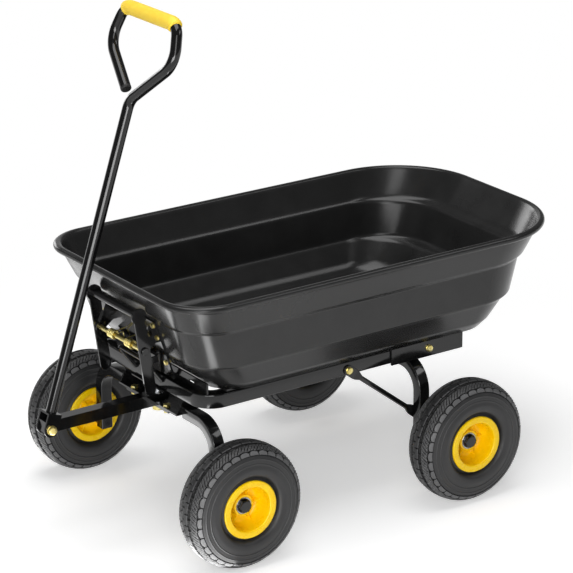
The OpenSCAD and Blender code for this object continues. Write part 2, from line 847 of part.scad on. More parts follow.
// The rear arch, and the foot on each leg that trails back to the axle
module rear_arch_bar(size) {
    cap = (leg_size - size) / 2;
    low_z = leg_foot_z + cap;
    translate([arch_x, 0, 0]) upright_across()
        bent_bar([[-leg_y, low_z], [-leg_y, arch_z], [leg_y, arch_z], [leg_y, low_z]],
            [0, leg_bend_r, leg_bend_r, 0], size, true);
    both_sides()
        translate([-axle_x - leg_size / 2 + cap, leg_y - size / 2, axle_z - size / 2])
            cube([rear_arch_ahead + leg_size / 2 - cap, size, size]);
}

module rear_arch() {
    color(steel_black)
        placed() difference() {
            rear_arch_bar(leg_size);
            rear_arch_bar(leg_size - 2 * leg_wall);
            both_sides() {
                translate([-axle_x, leg_y - leg_size, axle_z]) bar_y(axle_d + 2 * turn_fit, 2 * leg_size);
                translate([brace_low.x, leg_y - leg_size, brace_low.y])
                    bar_y(bolt_d + 2 * turn_fit, leg_size);
            }
        }
}

module arch_seats() {
    color(steel_black)
        placed() both_sides()
            translate([arch_x - arch_seat_l / 2, arch_seat_gap / 2, arch_top_z])
                cube([arch_seat_l, (frame_w - arch_seat_gap) / 2, arch_seat_t]);
}

// A brace tube that ends in flat tabs, on the rail's outer face and on the leg's inner face
module brace() {
    tab_hole = bolt_d + 2 * turn_fit;
    tube_l = brace_run - 2 * brace_tab_l + 2 * brace_blend;
    rail_face = frame_w / 2;
    leg_face = leg_y - leg_size / 2;
    translate([brace_low.x, 0, brace_low.y]) rotate([0, -brace_angle, 0]) {
        translate([brace_tab_l - brace_blend, leg_face - plate_t / 2, 0])
            rotate([0, 90, atan2(rail_face - leg_face + plate_t, tube_l)])
                cylinder(d = brace_d, h = norm([tube_l, rail_face - leg_face + plate_t]));
        side_plate(leg_face - plate_t, plate_t) difference() {
            brace_tab();
            circle(d = tab_hole);
        }
        translate([brace_run, 0, 0]) side_plate(rail_face, plate_t) difference() {
            mirror([1, 0]) brace_tab();
            circle(d = tab_hole);
        }
    }
}

module brace_tab() {
    circle(d = brace_tab_w);
    translate([0, -brace_tab_w / 2]) square([brace_tab_l, brace_tab_w]);
}

module brace_left() color(steel_black) placed() brace();

module brace_right() color(steel_black) placed() mirror([0, 1, 0]) brace();

module brace_bolts() {
    low_face = leg_y - leg_size / 2 - plate_t;
    color(zinc_yellow)
        placed() both_sides() {
            translate([brace_top.x, frame_w / 2 + plate_t, brace_top.y]) rotate([-90, 0, 0])
                bolt(bolt_d, bolt_flats, bolt_head_h, plate_t + rail_wall);
            translate([brace_low.x, low_face, brace_low.y]) rotate([90, 0, 0])
                bolt(bolt_d, bolt_flats, bolt_head_h, plate_t + leg_wall);
        }
}

// Pivot bolts of the tub, through the rails and the hinge cheeks
module hinge_bolts() {
    head_y = cheek_out_y + slide_gap;
    grip = head_y - frame_w / 2 + rail_size;
    color(zinc_yellow)
        placed() both_sides()
            translate([hinge_x, head_y, frame_z]) rotate([-90, 0, 0])
                bolt(hinge_bolt_d, hinge_head_flats, hinge_head_h, grip);
}

// Front axle

module turning_bracket() {
    flange = [
        [bracket_back_x, bracket_z],
        [bracket_front_x, bracket_z],
        [bracket_front_x - bracket_slant, bracket_top_z],
        [bracket_back_x, bracket_top_z]
    ];
    color(steel_black)
        placed() difference() {
            union() {
                translate([bracket_back_x, -bracket_w / 2, bracket_z])
                    cube([bracket_l, bracket_w, plate_t]);
                both_sides() side_plate(bracket_w / 2 - plate_t, plate_t) polygon(flange);
            }
            translate([axle_x, 0, bracket_z - 1])
                cylinder(d = kingpin_d + 2 * turn_fit, h = plate_t + 2);
            both_sides()
                translate([bracket_bolt_x, bracket_bolt_gap / 2, bracket_z - 1])
                    cylinder(d = bolt_d + 2 * turn_fit, h = plate_t + 2);
        }
}

module front_leg_bar(size) {
    cap = (leg_size - size) / 2;
    translate([axle_x, 0, 0]) upright_across()
        bent_bar([[bracket_w / 2 + cap, front_leg_z], [leg_y, front_leg_z], [leg_y, leg_foot_z + cap]],
            [0, leg_bend_r, 0], size, true);
}

module front_leg() {
    difference() {
        front_leg_bar(leg_size);
        front_leg_bar(leg_size - 2 * leg_wall);
        translate([axle_x, leg_y - leg_size, axle_z]) bar_y(axle_d + 2 * turn_fit, 2 * leg_size);
    }
}

module front_leg_left() color(steel_black) placed() front_leg();

module front_leg_right() color(steel_black) placed() mirror([0, 1, 0]) front_leg();

// Straddles the bracket's plate at the kingpin and ends in an eye for the handle's fork
module tongue() {
    length = pivot_x + tongue_nose - tongue_back_x;
    bore = tongue_size - 2 * tongue_wall;
    color(steel_black)
        placed() difference() {
            union() {
                translate([tongue_back_x, -tongue_size / 2, tongue_z - tongue_size / 2])
                    cube([length, tongue_size, tongue_size]);
                translate([bracket_front_x - foot_l, -foot_w / 2, bracket_z - plate_t])
                    cube([foot_l, foot_w, plate_t]);
            }
            translate([bracket_front_x + tongue_wall, -bore / 2, tongue_z - bore / 2])
                cube([pivot_x - 2 * pivot_bolt_d - bracket_front_x, bore, bore]);
            translate([bracket_back_x, -tongue_size, bracket_z])
                cube([bracket_l, 2 * tongue_size, plate_t]);
            translate([axle_x, 0, tongue_z - tongue_size])
                cylinder(d = kingpin_d + 2 * turn_fit, h = 2 * tongue_size);
            both_sides()
                translate([bracket_bolt_x, bracket_bolt_gap / 2, bracket_z - 2 * plate_t])
                    cylinder(d = bolt_d + 2 * turn_fit, h = 2 * plate_t);
            translate([pivot_x, -tongue_size, pivot_z])
                bar_y(pivot_bolt_d + 2 * turn_fit, 2 * tongue_size);
        }
}

module bracket_bolts() {
    color(zinc_yellow)
        placed() both_sides()
            translate([bracket_bolt_x, bracket_bolt_gap / 2, bracket_z + plate_t])
                bolt(bolt_d, bolt_flats, bolt_head_h, 2 * plate_t);
}

// Handle

// Stands the handle's own frame on its pivot, leaning back
module at_handle() {
    placed() translate([pivot_x, 0, pivot_z]) rotate([0, -handle_lean, 0]) children();
}

// A strip bent over the tongue, with rounded ends about the pivot and the shaft welded on its top
module handle_fork() {
    half = fork_gap / 2;
    color(steel_black)
        at_handle() difference() {
            union() {
                both_sides()
                    translate([0, half, 0]) {
                        bar_y(fork_strip_w, plate_t);
                        translate([-fork_strip_w / 2, 0, 0]) cube([fork_strip_w, plate_t, fork_rise]);
                    }
                translate([-fork_strip_w / 2, -half, fork_rise - plate_t])
                    cube([fork_strip_w, fork_gap, plate_t]);
            }
            translate([0, -fork_gap, 0]) bar_y(pivot_bolt_d + 2 * turn_fit, 2 * fork_gap);
        }
}

module handle_tube() {
    color(steel_black)
        at_handle() swept_tube(handle_path, handle_d, handle_d - 2 * handle_wall, tube_sides, [1, 0, 0]);
}

// Sleeve on the loop's top bar, wrapping part of both end bends
module hand_grip() {
    first = 3 * bend_steps + 3 - grip_wrap_steps;
    last = 3 * bend_steps + 4 + grip_wrap_steps;
    path = [for (i = [first : last]) handle_path[i]];
    color(grip_yellow)
        at_handle() swept_tube(path, grip_d, handle_d + 2 * slide_gap, tube_sides, [1, 0, 0]);
}

module handle_end_plug() {
    tail = loop_points[len(loop_points) - 1];
    before = loop_points[len(loop_points) - 2];
    run = tail - before;
    stem_d = (handle_d - 2 * handle_wall) * cos(180 / tube_sides) - 2 * turn_fit;
    color(moulded_black)
        at_handle() upright_across()
            translate([tail.x, tail.y, 0]) rotate([0, 0, atan2(run.y, run.x)]) rotate([0, 90, 0]) {
                cylinder(d = handle_d, h = end_plug_l);
                translate([0, 0, -handle_d]) cylinder(d = stem_d, h = handle_d + exact);
            }
}

module pivot_bolt() {
    color(zinc_yellow)
        at_handle() translate([0, fork_gap / 2 + plate_t, 0]) rotate([-90, 0, 0])
            bolt(pivot_bolt_d, pivot_head_flats, pivot_head_h, fork_gap + 2 * plate_t);
}

// Tub

function arc_points(cx, cy, r, from, steps) =
    [for (i = [0 : steps]) [cx + r * cos(from + 90 * i / steps), cy + r * sin(from + 90 * i / steps)]];

// One level of the tub: a rectangle with its own front and rear corner radii, set in from the lip
function tub_ring(z, inset) =
    let (
        front = lip_front_x - inset.x,
        half = lip_w / 2 - inset.y,
        rear = lip_rear_x + inset.z,
        rf = lip_front_r - front_corner_rate * inset.x,
        rr = lip_rear_r - rear_corner_rate * inset.z,
        outline = concat(
            arc_points(front - rf, half - rf, rf, 0, front_corner_steps),
            arc_points(rear + rr, half - rr, rr, 90, rear_corner_steps),
            arc_points(rear + rr, rr - half, rr, 180, rear_corner_steps),
            arc_points(front - rf, rf - half, rf, 270, front_corner_steps)
        )
    )
    [for (p = outline) [p.x, p.y, z]];

// The wall from the underside up, over the rolled bead and down the inside to the floor
module tub_shell() {
    thick = [tub_wall, tub_wall, tub_wall];
    outside = [for (l = tub_levels) tub_ring(tub_z + l[0], l[1])];
    inside = [for (l = tub_levels) tub_ring(tub_z + l[0] + tub_wall, l[1] + thick)];
    bead = [
        for (a = [-90 : 30 : 150])
            let (in = bead_r * (1 - cos(a)))
            tub_ring(lip_z + bead_r * sin(a), [in, in, in])
    ];
    rings = concat(outside, bead, reversed(inside));
    n = len(rings[0]);
    underside = [for (j = [0 : n - 1]) j];
    floor_face = [for (j = [n - 1 : -1 : 0]) (len(rings) - 1) * n + j];
    polyhedron([for (r = rings) each r], concat(ring_sides(len(rings), n), [underside, floor_face]),
        convexity = 6);
}

// The tub stands on a pad over each rail, which reaches in under the floor as far as it must
module tub() {
    pad_x = lip_front_x - floor_inset.x - foot_pad_l - foot_pad_edge;
    pad_out_y = rail_y + rail_size / 3;
    pad_in_y = min(rail_y - rail_size / 3, lip_w / 2 - floor_inset.y - foot_pad_hold);
    color(moulded_black)
        placed() difference() {
            union() {
                tub_shell();
                both_sides()
                    translate([pad_x, pad_in_y, frame_top_z + slide_gap])
                        cube([foot_pad_l, pad_out_y - pad_in_y, hinge_flange_t + tub_wall / 2]);
            }
            at_flange_bolts() {
                translate([0, 0, -tub_wall]) cylinder(d = bolt_d + 2 * tub_hole_gap, h = 3 * tub_wall);
                translate([0, 0, tub_wall - sink_h]) countersink(bolt_d + 2 * tub_hole_gap, -exact);
            }
            at_latch() both_sides()
                for (i = [0, 1])
                    translate([-3 * tub_wall, latch_bolt_y, latch_bolt_places[i]]) rotate([0, 90, 0])
                        cylinder(d = latch_bolt_d + 2 * tub_hole_gap, h = 6 * tub_wall);
        }
}

// Stands on the tub's underside at each bolt that holds the hinge brackets
module at_flange_bolts() {
    both_sides()
        for (x = [hinge_x - flange_bolt_share * cheek_behind, hinge_x + flange_bolt_share * cheek_ahead])
            translate([x, flange_bolt_y, tub_z]) children();
}

// A cheek outside the rail and a flange under the tub
module hinge_bracket() {
    rear_x = hinge_x - cheek_behind;
    length = cheek_behind + cheek_ahead;
    flange_z = tub_z - hinge_flange_t;
    cheek_z = frame_z - cheek_drop;
    difference() {
        union() {
            translate([rear_x, cheek_in_y, cheek_z]) cube([length, plate_t, flange_z - cheek_z]);
            translate([rear_x, cheek_out_y - hinge_flange_w, flange_z])
                cube([length, hinge_flange_w, hinge_flange_t]);
        }
        translate([hinge_x, frame_w / 2, frame_z]) bar_y(hinge_bolt_d + 2 * turn_fit, 2 * plate_t);
        at_flange_bolts() translate([0, 0, -2 * hinge_flange_t])
            cylinder(d = bolt_d + 2 * turn_fit, h = 3 * hinge_flange_t);
    }
}

module hinge_bracket_left() color(steel_black) placed() hinge_bracket();

module hinge_bracket_right() color(steel_black) placed() mirror([0, 1, 0]) hinge_bracket();

// A cone that widens by one bolt diameter over the countersink's depth, ended short of its top
module countersink(d, short) {
    cylinder(d1 = d, d2 = d + bolt_d * (1 - short / sink_h), h = sink_h - short);
}

// Countersunk bolts down through the tub's floor, below its face, with nuts under the flanges
module hinge_bracket_bolts() {
    nut_z = -hinge_flange_t - bolt_head_h;
    sink_z = tub_wall - sink_h;
    color(zinc_yellow)
        placed() at_flange_bolts() {
            translate([0, 0, sink_z]) countersink(bolt_d, tub_hole_gap);
            translate([0, 0, nut_z]) cylinder(d = bolt_d, h = sink_z - nut_z + exact);
            translate([0, 0, nut_z]) hex(bolt_flats, bolt_head_h);
        }
}

// Latch

// Stands the latch's own frame on the tub's front wall: X out of the wall, Z up along it
module at_latch() translate([latch_x, 0, latch_z]) rotate([0, latch_tilt, 0]) children();

module latch_bracket() {
    ear_half = latch_ear_r - 1;
    ear = [[0, latch_ear_top], [0, latch_ear_foot], [rod_out, -rod_down - ear_half],
        [rod_out, ear_half - rod_down]];
    color(steel_black)
        placed() at_latch() difference() {
            union() {
                translate([0, -latch_w / 2, -latch_down])
                    cube([plate_t, latch_w, latch_up + latch_down]);
                both_sides() side_plate(latch_ear_y, plate_t) {
                    polygon(ear);
                    translate([rod_out, -rod_down]) circle(r = latch_ear_r);
                }
            }
            translate([rod_out, -lever_w, -rod_down]) bar_y(rod_d + 2 * turn_fit, 2 * lever_w);
            both_sides()
                for (z = latch_bolt_places)
                    translate([-1, latch_bolt_y, z]) rotate([0, 90, 0])
                        cylinder(d = latch_bolt_d + 2 * turn_fit, h = plate_t + 2);
        }
}

// Two bolts a side hold the tub's wall, and one holds the plate's free lower end
module latch_bolts() {
    flats = 1.6 * latch_bolt_d;
    head_h = 0.7 * latch_bolt_d;
    color(zinc_yellow)
        placed() at_latch() both_sides()
            for (i = [0 : 2])
                translate([plate_t, latch_bolt_y, latch_bolt_places[i]]) rotate([0, 90, 0])
                    bolt(latch_bolt_d, flats, head_h, plate_t + (i < 2 ? latch_wall_t : 0));
}

module lever_rod() {
    half = lever_w / 2 + plate_t + slide_gap;
    color(zinc_yellow)
        placed() translate([rod_x, 0, rod_z]) {
            translate([0, -half, 0]) bar_y(rod_d, 2 * half);
            both_sides() translate([0, half, 0]) bar_y(rod_d + 6, rod_head_h);
        }
}

// Stands the lever's own frame on its pivot rod, leaning forward
module at_lever() placed() translate([rod_x, 0, rod_z]) rotate([0, lever_lean, 0]) children();

// Two arms on the rod, tied by a strip that carries the hook behind the catch bar
module release_lever() {
    half = lever_w / 2;
    color(steel_black)
        at_lever() difference() {
            union() {
                both_sides() side_plate(half, plate_t) {
                    translate([-lever_arm_w / 2, -lever_down]) square([lever_arm_w, lever_up + lever_down]);
                    translate([0, -lever_down]) circle(d = lever_arm_w);
                    translate([0, lever_up]) circle(r = lever_ear_r);
                    translate([hook_x, hook_tie_z]) square([-hook_x, hook_top_z - hook_tie_z]);
                }
                translate([hook_x, -half, hook_tie_z])
                    cube([plate_t, lever_w, hook_top_z - hook_tie_z]);
                translate([hook_x, -hook_half_w, hook_low_z])
                    cube([plate_t, 2 * hook_half_w, hook_tie_z - hook_low_z]);
            }
            translate([0, -lever_w, 0]) bar_y(rod_d + 2 * turn_fit, 2 * lever_w);
        }
}

module lever_bar() {
    color(steel_black)
        at_lever() translate([0, -lever_w / 2, lever_up]) difference() {
            bar_y(lever_bar_d, lever_w);
            translate([0, -1, 0]) bar_y(lever_bar_d - 4, lever_w + 2);
        }
}

// Springs: a coil round the rod, a straight leg to the back plate and a hooked leg behind the strip

coil_r = spring_d / 2;
rings_a_turn = 8;
coil_l = spring_turns * spring_pitch;
wire_sides = 6;
leg_tip_r = 3;
strip_back_x = hook_x - spring_wire / 2 - slide_gap;
strip_mid_z = (hook_top_z + hook_tie_z) / 2;
plate_lean = latch_tilt - lever_lean;
plate_reach = (rod_out - plate_t - slide_gap - spring_wire / 2) / cos(plate_lean)
    - coil_r * tan(plate_lean);

spring_path = concat(
    [[-plate_reach, 0, coil_r], [-plate_reach / 2, 0, coil_r]],
    [
        for (i = [0 : rings_a_turn * (spring_turns + 0.5)])
            let (a = 90 - 360 * i / rings_a_turn)
            [coil_r * cos(a), spring_pitch * i / rings_a_turn, coil_r * sin(a)]
    ],
    [
        for (i = [0 : 3])
            let (a = 30 * i, y = spring_pitch * (spring_turns + 0.5))
            [strip_back_x + leg_tip_r * (1 - sin(a)), y, leg_tip_r * (cos(a) - 1) - coil_r]
    ],
    [[strip_back_x, spring_pitch * (spring_turns + 0.5), strip_mid_z]]
);

// Least distance between points of the path that are not near neighbours, less the wire
function path_gap(p) =
    min([
        for (i = [0 : len(p) - 1], j = [i + 1 : len(p) - 1])
            if (j - i > rings_a_turn / 2) norm(p[i] - p[j])
    ]) - spring_wire;

module lever_springs() {
    echo(least_gap_of_a_spring_to_itself = path_gap(spring_path));
    color(zinc_yellow)
        at_lever() both_sides() translate([0, spring_y - coil_l / 2, 0])
            swept_bar(spring_path, spring_wire, wire_sides, [0, 1, 0]);
}

frame_rails();
cross_member();
front_plate();
catch_loop();
kingpin_plate();
kingpin();
thrust_bush();
kingpin_nut();
rear_arch();
arch_seats();
rear_stub_axles();
rear_axle_nuts();
brace_left();
brace_right();
brace_bolts();
hinge_bolts();
turning_bracket();
front_leg_left();
front_leg_right();
front_stub_axles();
front_axle_nuts();
tongue();
bracket_bolts();
handle_fork();
handle_tube();
hand_grip();
handle_end_plug();
pivot_bolt();
tub();
hinge_bracket_left();
hinge_bracket_right();
hinge_bracket_bolts();
latch_bracket();
latch_bolts();
lever_rod();
lever_springs();
release_lever();
lever_bar();
for (end = ENDS, side = SIDES) {
    at_wheel(end, side) tyre();
    at_wheel(end, side) rim();
    at_wheel(end, side) bearings();
    at_wheel(end, side) valve();
}
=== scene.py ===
"""Tipping garden dump cart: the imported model, dressed and lit as in its photograph.

Shapes are worked out in millimetres, with x = 0 midway between the axles, X forward, Y to the
cart's left and Z up. metres() turns them into the model's own frame.
"""
import math

import bmesh
import bpy
import numpy as np
from mathutils import Matrix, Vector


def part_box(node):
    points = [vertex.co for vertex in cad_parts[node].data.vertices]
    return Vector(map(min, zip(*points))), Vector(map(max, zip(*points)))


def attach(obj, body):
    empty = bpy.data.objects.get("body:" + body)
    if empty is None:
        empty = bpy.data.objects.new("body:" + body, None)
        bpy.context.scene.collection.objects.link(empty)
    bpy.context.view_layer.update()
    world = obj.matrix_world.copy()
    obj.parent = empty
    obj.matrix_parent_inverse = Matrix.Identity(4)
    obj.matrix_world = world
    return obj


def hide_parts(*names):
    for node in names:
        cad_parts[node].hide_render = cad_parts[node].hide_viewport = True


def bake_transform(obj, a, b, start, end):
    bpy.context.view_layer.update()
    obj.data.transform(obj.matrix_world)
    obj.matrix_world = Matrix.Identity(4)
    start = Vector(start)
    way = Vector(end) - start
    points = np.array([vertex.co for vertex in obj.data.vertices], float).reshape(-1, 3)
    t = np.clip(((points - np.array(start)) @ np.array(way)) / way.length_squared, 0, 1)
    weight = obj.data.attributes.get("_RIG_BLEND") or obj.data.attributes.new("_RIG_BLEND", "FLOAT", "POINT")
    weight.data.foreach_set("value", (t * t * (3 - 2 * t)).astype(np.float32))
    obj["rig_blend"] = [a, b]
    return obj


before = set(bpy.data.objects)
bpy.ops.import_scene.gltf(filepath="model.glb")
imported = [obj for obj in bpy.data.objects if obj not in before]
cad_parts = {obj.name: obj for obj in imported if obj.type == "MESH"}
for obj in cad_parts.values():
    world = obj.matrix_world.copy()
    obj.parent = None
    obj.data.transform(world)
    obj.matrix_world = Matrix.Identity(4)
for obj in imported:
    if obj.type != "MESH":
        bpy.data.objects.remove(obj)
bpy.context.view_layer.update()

MM = 0.001
ORIGIN_X = 16.75      # the model's origin lies this far behind the middle between the axles

# Wheels
AXLE_X = 279.0
AXLE_Z = 130.0
WHEEL_Y = 297.5
TYRE_R = 130.0
TYRE_HALF_W = 42.5
SECTION_R = 90.0
SECTION_H = 40.0
SECTION_POWER = 0.77
FLANGE_R = 60.5
SEAT_R = 50.0
RIM_HALF = 39.0
SEAT_HALF = RIM_HALF - 4.4
FLANGE_ROUND = 3.2
LIP_R = 49.4          # middle of the rounding between bowl and flange, and its radius
LIP_ROUND = 3.5
BOWL_R = 28.0         # where the bowl starts to rise, how far out it goes, and how sharply it turns up
BOWL_REACH = 17.4
BOWL_POWER = 1.6
BOWL_DEPTH = 6.0
HUB_R = 22.0
HUB_OUT = 13.0        # the hub's outer face, its inner face and the web between, from the wheel's middle
HUB_IN = 30.0
WEB_OUT = -4.5
WEB_IN = 12.5
RIB_OUT = 7.0
RIB_IN = 24.0
RIBS = 6
RIB_SLOPE = 0.1
RIB_HALF_T = (1.1, 1.8)    # half a rib's thickness at its top and at its foot
RIB_END_R = 45.0
RIM_COLUMNS = 60 * RIBS
BEARING_R = 17.5
BEARING_W = 11.0
AXLE_R = 8.0
AXLE_END = 318.4
AXLE_COLLAR_D = 24.0
AXLE_NUT_FLATS = 24.0
AXLE_WASHER_D = 30.0
FLANGE_DIP = 6.0      # how far the sidewall sinks next to the rim's flange, and over what width
FLANGE_DIP_W = 13.0

# Tread: distances from the crown along the section, widths and depths
LUGS = 34
COLUMNS_PER_LUG = 25
CENTRE_EDGE = 8.55
GROOVE_EDGE = 17.2
TEETH_EDGE = 33.2
TEETH_PER_LUG = 3
TEETH_SLANT = 0.11
TEETH_SLANT_FROM = 25.0
TEETH_MID = 25.3
SEAM_AT = 33.6
TAB_EDGE = 44.0
RIDGES_AT = (53.0, 63.0)
SLOT_HALF = 0.9
BAR_HALF = 1.8
CENTRE_DEPTH = 3.0
GROOVE_DEPTH = 4.8
TOOTH_DEPTH = 2.4
SEAM_DEPTH = 2.6
TAB_GAP_DEPTH = 3.4
LINE_DEPTH = 3.0
SIDEWALL_DEPTH = 2.0
RIDGE_H = 0.9
# The tyre's painted light on plain rubber: more is a painted highlight, less is painted shade
PLAIN_PAINTED_LIGHT = 0.4

# Chassis
RAIL = 30.0
RAIL_CORNER = 3.0
RAIL_Y = 188.0
FRAME_Z = 309.0
FRAME_FRONT_X = 284.0
FRAME_BEND = 35.0
HINGE_X = -251.0
HINGE_BOLT_OUT = 19.6
HINGE_BOLT_GRIP = 34.6
CROSS_X = 20.0
LEG = 25.0
LEG_Y = 217.5
LEG_BEND = 55.0
ARCH_X = -225.0
ARCH_Z = 276.5
FRONT_LEG_Z = 262.0
BRACKET_HALF_W = 110.0
BRACKET_Z = 257.0
BRACKET_BOLT_AHEAD = 18.0
BRACKET_BOLT_Y = 62.0
BRACKET_BOLT_GRIP = 8.0
PLATE = 4.0
TUBE_CORNER = 2.5
KINGPIN_D = 16.0
KINGPIN_LOW = 231.2
KINGPIN_TOP = 324.0
KINGPIN_NUT_Z = 244.2
KINGPIN_NUT_H = 12.9
KINGPIN_NUT_FLATS = 24.0
BRACE_TOP = np.array([-49.0, 305.0])
BRACE_LOW = np.array([-225.0, 168.0])
BRACE_Y = 204.0
BRACE_D = 11.0
BRACE_TAB_HALF = 11.0
BRACE_TAB_T = 4.0
BRACE_PRESS = (18.0, 40.0)    # distances from an end over which the flat tab turns into the tube
BRACE_SHIFT = 2.0             # how far its upper end stands out beyond its lower end
BRACE_BOLT_GRIP = 6.0

# Bolts: thread, width across the flats and height of the head
M6 = (6, 9.6, 4.2)
M8 = (8, 13, 5)
M10 = (10, 17, 7)

# Tongue and handle
PIVOT_X = 538.0
PIVOT_Z = 252.0
HANDLE_LEAN = 18.3
HANDLE_D = 22.0
GRIP_D = 29.8
GRIP_ROUND = 5.0
GRIP_BEND_STEPS = 24
LOOP = [(0, 33), (0, 671), (118, 768), (95, 841), (-95, 841), (-118, 768), (-25, 691.5)]
LOOP_BENDS = [35, 50, 30, 30, 50]
FORK_FACE_Y = 17.5

# Tub
TUB_Z = 326.8
LIP_FRONT_X = 387.0
LIP_REAR_X = -587.0
LIP_HALF_W = 288.0
LIP_Z = 535.0
BEAD_R = 7.5
TUB_WALL = 4.0
FRONT_CORNER_R = 95.0
FRONT_CORNER_RATE = 0.15
REAR_CORNER_R = 191.0
REAR_CORNER_RATE = 0.68
FRONT_CORNER_STEPS = 32
REAR_CORNER_STEPS = 60
RUN_STEPS = (24, 14, 24, 14)
OUTER_TRIM = 3.0
INNER_TRIM = 7.0
PAD_X = (142, 242)
PAD_HALF_W = 10.0
PAD_DROP = 2.5
PAD_RISE = 2.0
FLOOR_BOLTS_X = (-317.0, -179.75)
FLOOR_BOLT_Y = 155.8
HINGE_FLANGE_T = 2.6
FLOOR_NUT_H = 4.8

# Height above the tub's underside, then the inset from the lip at the front, the sides and the rear
TUB_LEVELS = np.array([
    [0, 125, 77, 162],
    [18, 111, 62, 146],
    [61, 70, 42.5, 113.5],
    [67, 65.5, 39, 91.5],
    [143, 39.5, 33, 64.5],
    [149, 35, 28.5, 46.5],
    [200.7, 12, 11, 13],
])

# Latch
LATCH_X = 334.5
LATCH_Z = 431.8
LATCH_TILT = 18.886
LATCH_BOLT_Y = 98.0
LATCH_BOLTS = ((27.0, 9.0), (-2.0, 9.0), (-62.0, 4.0))    # height on the plate, and the length gripped
ROD_X = 361.14
ROD_Z = 401.55
ROD_D = 10.0
LEVER_LEAN = 8.0
LEVER_HALF = 84.0
LEVER_UP = 75.0
LEVER_BAR_D = 16.0
ROD_END = LEVER_HALF + 4.3
ROD_HEAD_D = 16.0
ROD_HEAD_H = 3.9
CATCH_FOOT = (299.0, 312.0)
CATCH_BAR = (339.0, 365.0)
CATCH_HALF_W = 50.0
CATCH_D = 9.0
CATCH_BEND = 12.0
SPRING_Y = 23.0
SPRING_R = 8.5
SPRING_WIRE = 2.4
SPRING_PITCH = 3.6
SPRING_TURNS = 5.5
SPRING_PLATE_REACH = 28.4
SPRING_STRIP_X = 28.8
SPRING_STRIP_DROP = 25.8
SPRING_LEG_BEND = 3.0
SPRING_WINDS = 6.0    # half the height over which a coil passes the lever's turn on


# Shapes: each is an array of points and a list of faces


def unit(v):
    """The vector's direction, one long."""
    return v / np.linalg.norm(v)


def outward(points, faces):
    """Turns every face round where the signed volume of the closed shape, the sum of the triple
    products of the triangles fanned over its faces, is negative."""
    triangles = np.array([(f[0], b, c) for f in faces for b, c in zip(f[1:-1], f[2:])])
    a, b, c = points[triangles].transpose(1, 0, 2)
    if np.einsum("ij,ij->", a, np.cross(b, c)) < 0:
        faces = [f[::-1] for f in faces]
    return points, faces


def grid(points, looped=False):
    """Quads between neighbouring rows of an array (rows, columns, 3) whose columns go round. The last
    row meets the first where the shape is looped, and one face closes each end where it isn't."""
    rows, columns = points.shape[:2]
    index = np.arange(rows * columns).reshape(rows, columns)
    above = np.roll(index, -1, axis=0)
    low, high = (index, above) if looped else (index[:-1], index[1:])
    quads = np.stack([low, np.roll(low, -1, axis=1), np.roll(high, -1, axis=1), high], -1)
    faces = quads.reshape(-1, 4).tolist()
    if not looped:
        faces += [index[0, ::-1].tolist(), index[-1].tolist()]
    return outward(points.reshape(-1, 3), faces)


def swept(path, profile, axis):
    """A profile (columns, 2) carried along a flat path: point = path + u * out + v * over, where over
    is the axis square to the path's plane and out = over x heading."""
    heading = np.gradient(path, axis=0)
    heading /= np.linalg.norm(heading, axis=1, keepdims=True)
    out = np.cross(axis, heading)
    out /= np.linalg.norm(out, axis=1, keepdims=True)
    over = np.cross(heading, out)
    u, v = profile[..., 0, None], profile[..., 1, None]
    return grid(path[:, None] + u * out[:, None] + v * over[:, None])


def bent(points, radii, steps=12):
    """A path of straight runs whose corners are arcs: an arc's middle lies on the corner's bisector,
    r / cos(turn / 2) from the corner."""
    points = np.asarray(points, float)
    path = [points[:1]]
    for before, at, after, r in zip(points, points[1:], points[2:], radii):
        a, b = unit(at - before), unit(after - at)
        half_turn = math.acos(np.clip(a @ b, -1, 1)) / 2
        inward, along = unit(b - a), unit(a + b)
        middle = at + inward * r / math.cos(half_turn)
        angle = np.linspace(-half_turn, half_turn, steps + 1)[:, None]
        path.append(middle + r * (along * np.sin(angle) - inward * np.cos(angle)))
    return np.concatenate(path + [points[-1:]])


def rounded_square(size, corner, steps=5):
    """Outline of a square tube: four quarter circles joined by straight sides."""
    turn = np.linspace(0, math.pi / 2, steps + 1)
    angle = (turn + np.arange(4)[:, None] * math.pi / 2).ravel()
    middles = (size / 2 - corner) * np.array([[1, 1], [-1, 1], [-1, -1], [1, -1]])
    return np.repeat(middles, steps + 1, axis=0) + corner * np.stack([np.cos(angle), np.sin(angle)], -1)


def circle(d, steps=32):
    """Outline of a round bar."""
    angle = np.arange(steps) * 2 * math.pi / steps
    return d / 2 * np.stack([np.cos(angle), np.sin(angle)], -1)


def turned(profile, steps=48, looped=False):
    """A profile of (radius, height) turned about Z."""
    profile = np.asarray(profile, float)
    angle = np.arange(steps) * 2 * math.pi / steps
    r, z = profile[:, :1], profile[:, 1:]
    return grid(np.stack([r * np.cos(angle), r * np.sin(angle), z + 0 * angle], -1), looped)


def pin(d, low, high, chamfer=1.0):
    """A round bar along Z with chamfered ends."""
    r = d / 2
    return turned([(r - chamfer, low), (r, low + chamfer), (r, high - chamfer), (r - chamfer, high)])


def hexagon(flats, low, high, steps=8):
    """A hexagonal head along Z: its radius at an angle is flats / 2 over the cosine of the angle from
    the nearest flat's middle, and a 30 degree cone trims the corners of its upper face."""
    angle = np.arange(6 * steps) * 2 * math.pi / (6 * steps)
    radius = flats / 2 / np.cos(angle % (math.pi / 3) - math.pi / 6)
    face = 0.96 * flats / 2 + 0 * angle
    shoulder = high - (radius - face) * math.tan(math.pi / 6)
    r = np.stack([radius, radius, face, 0.6 * face])
    z = np.stack([low + 0 * angle, shoulder, high + 0 * angle, high + 0 * angle])
    return grid(np.stack([r * np.cos(angle), r * np.sin(angle), z], -1))


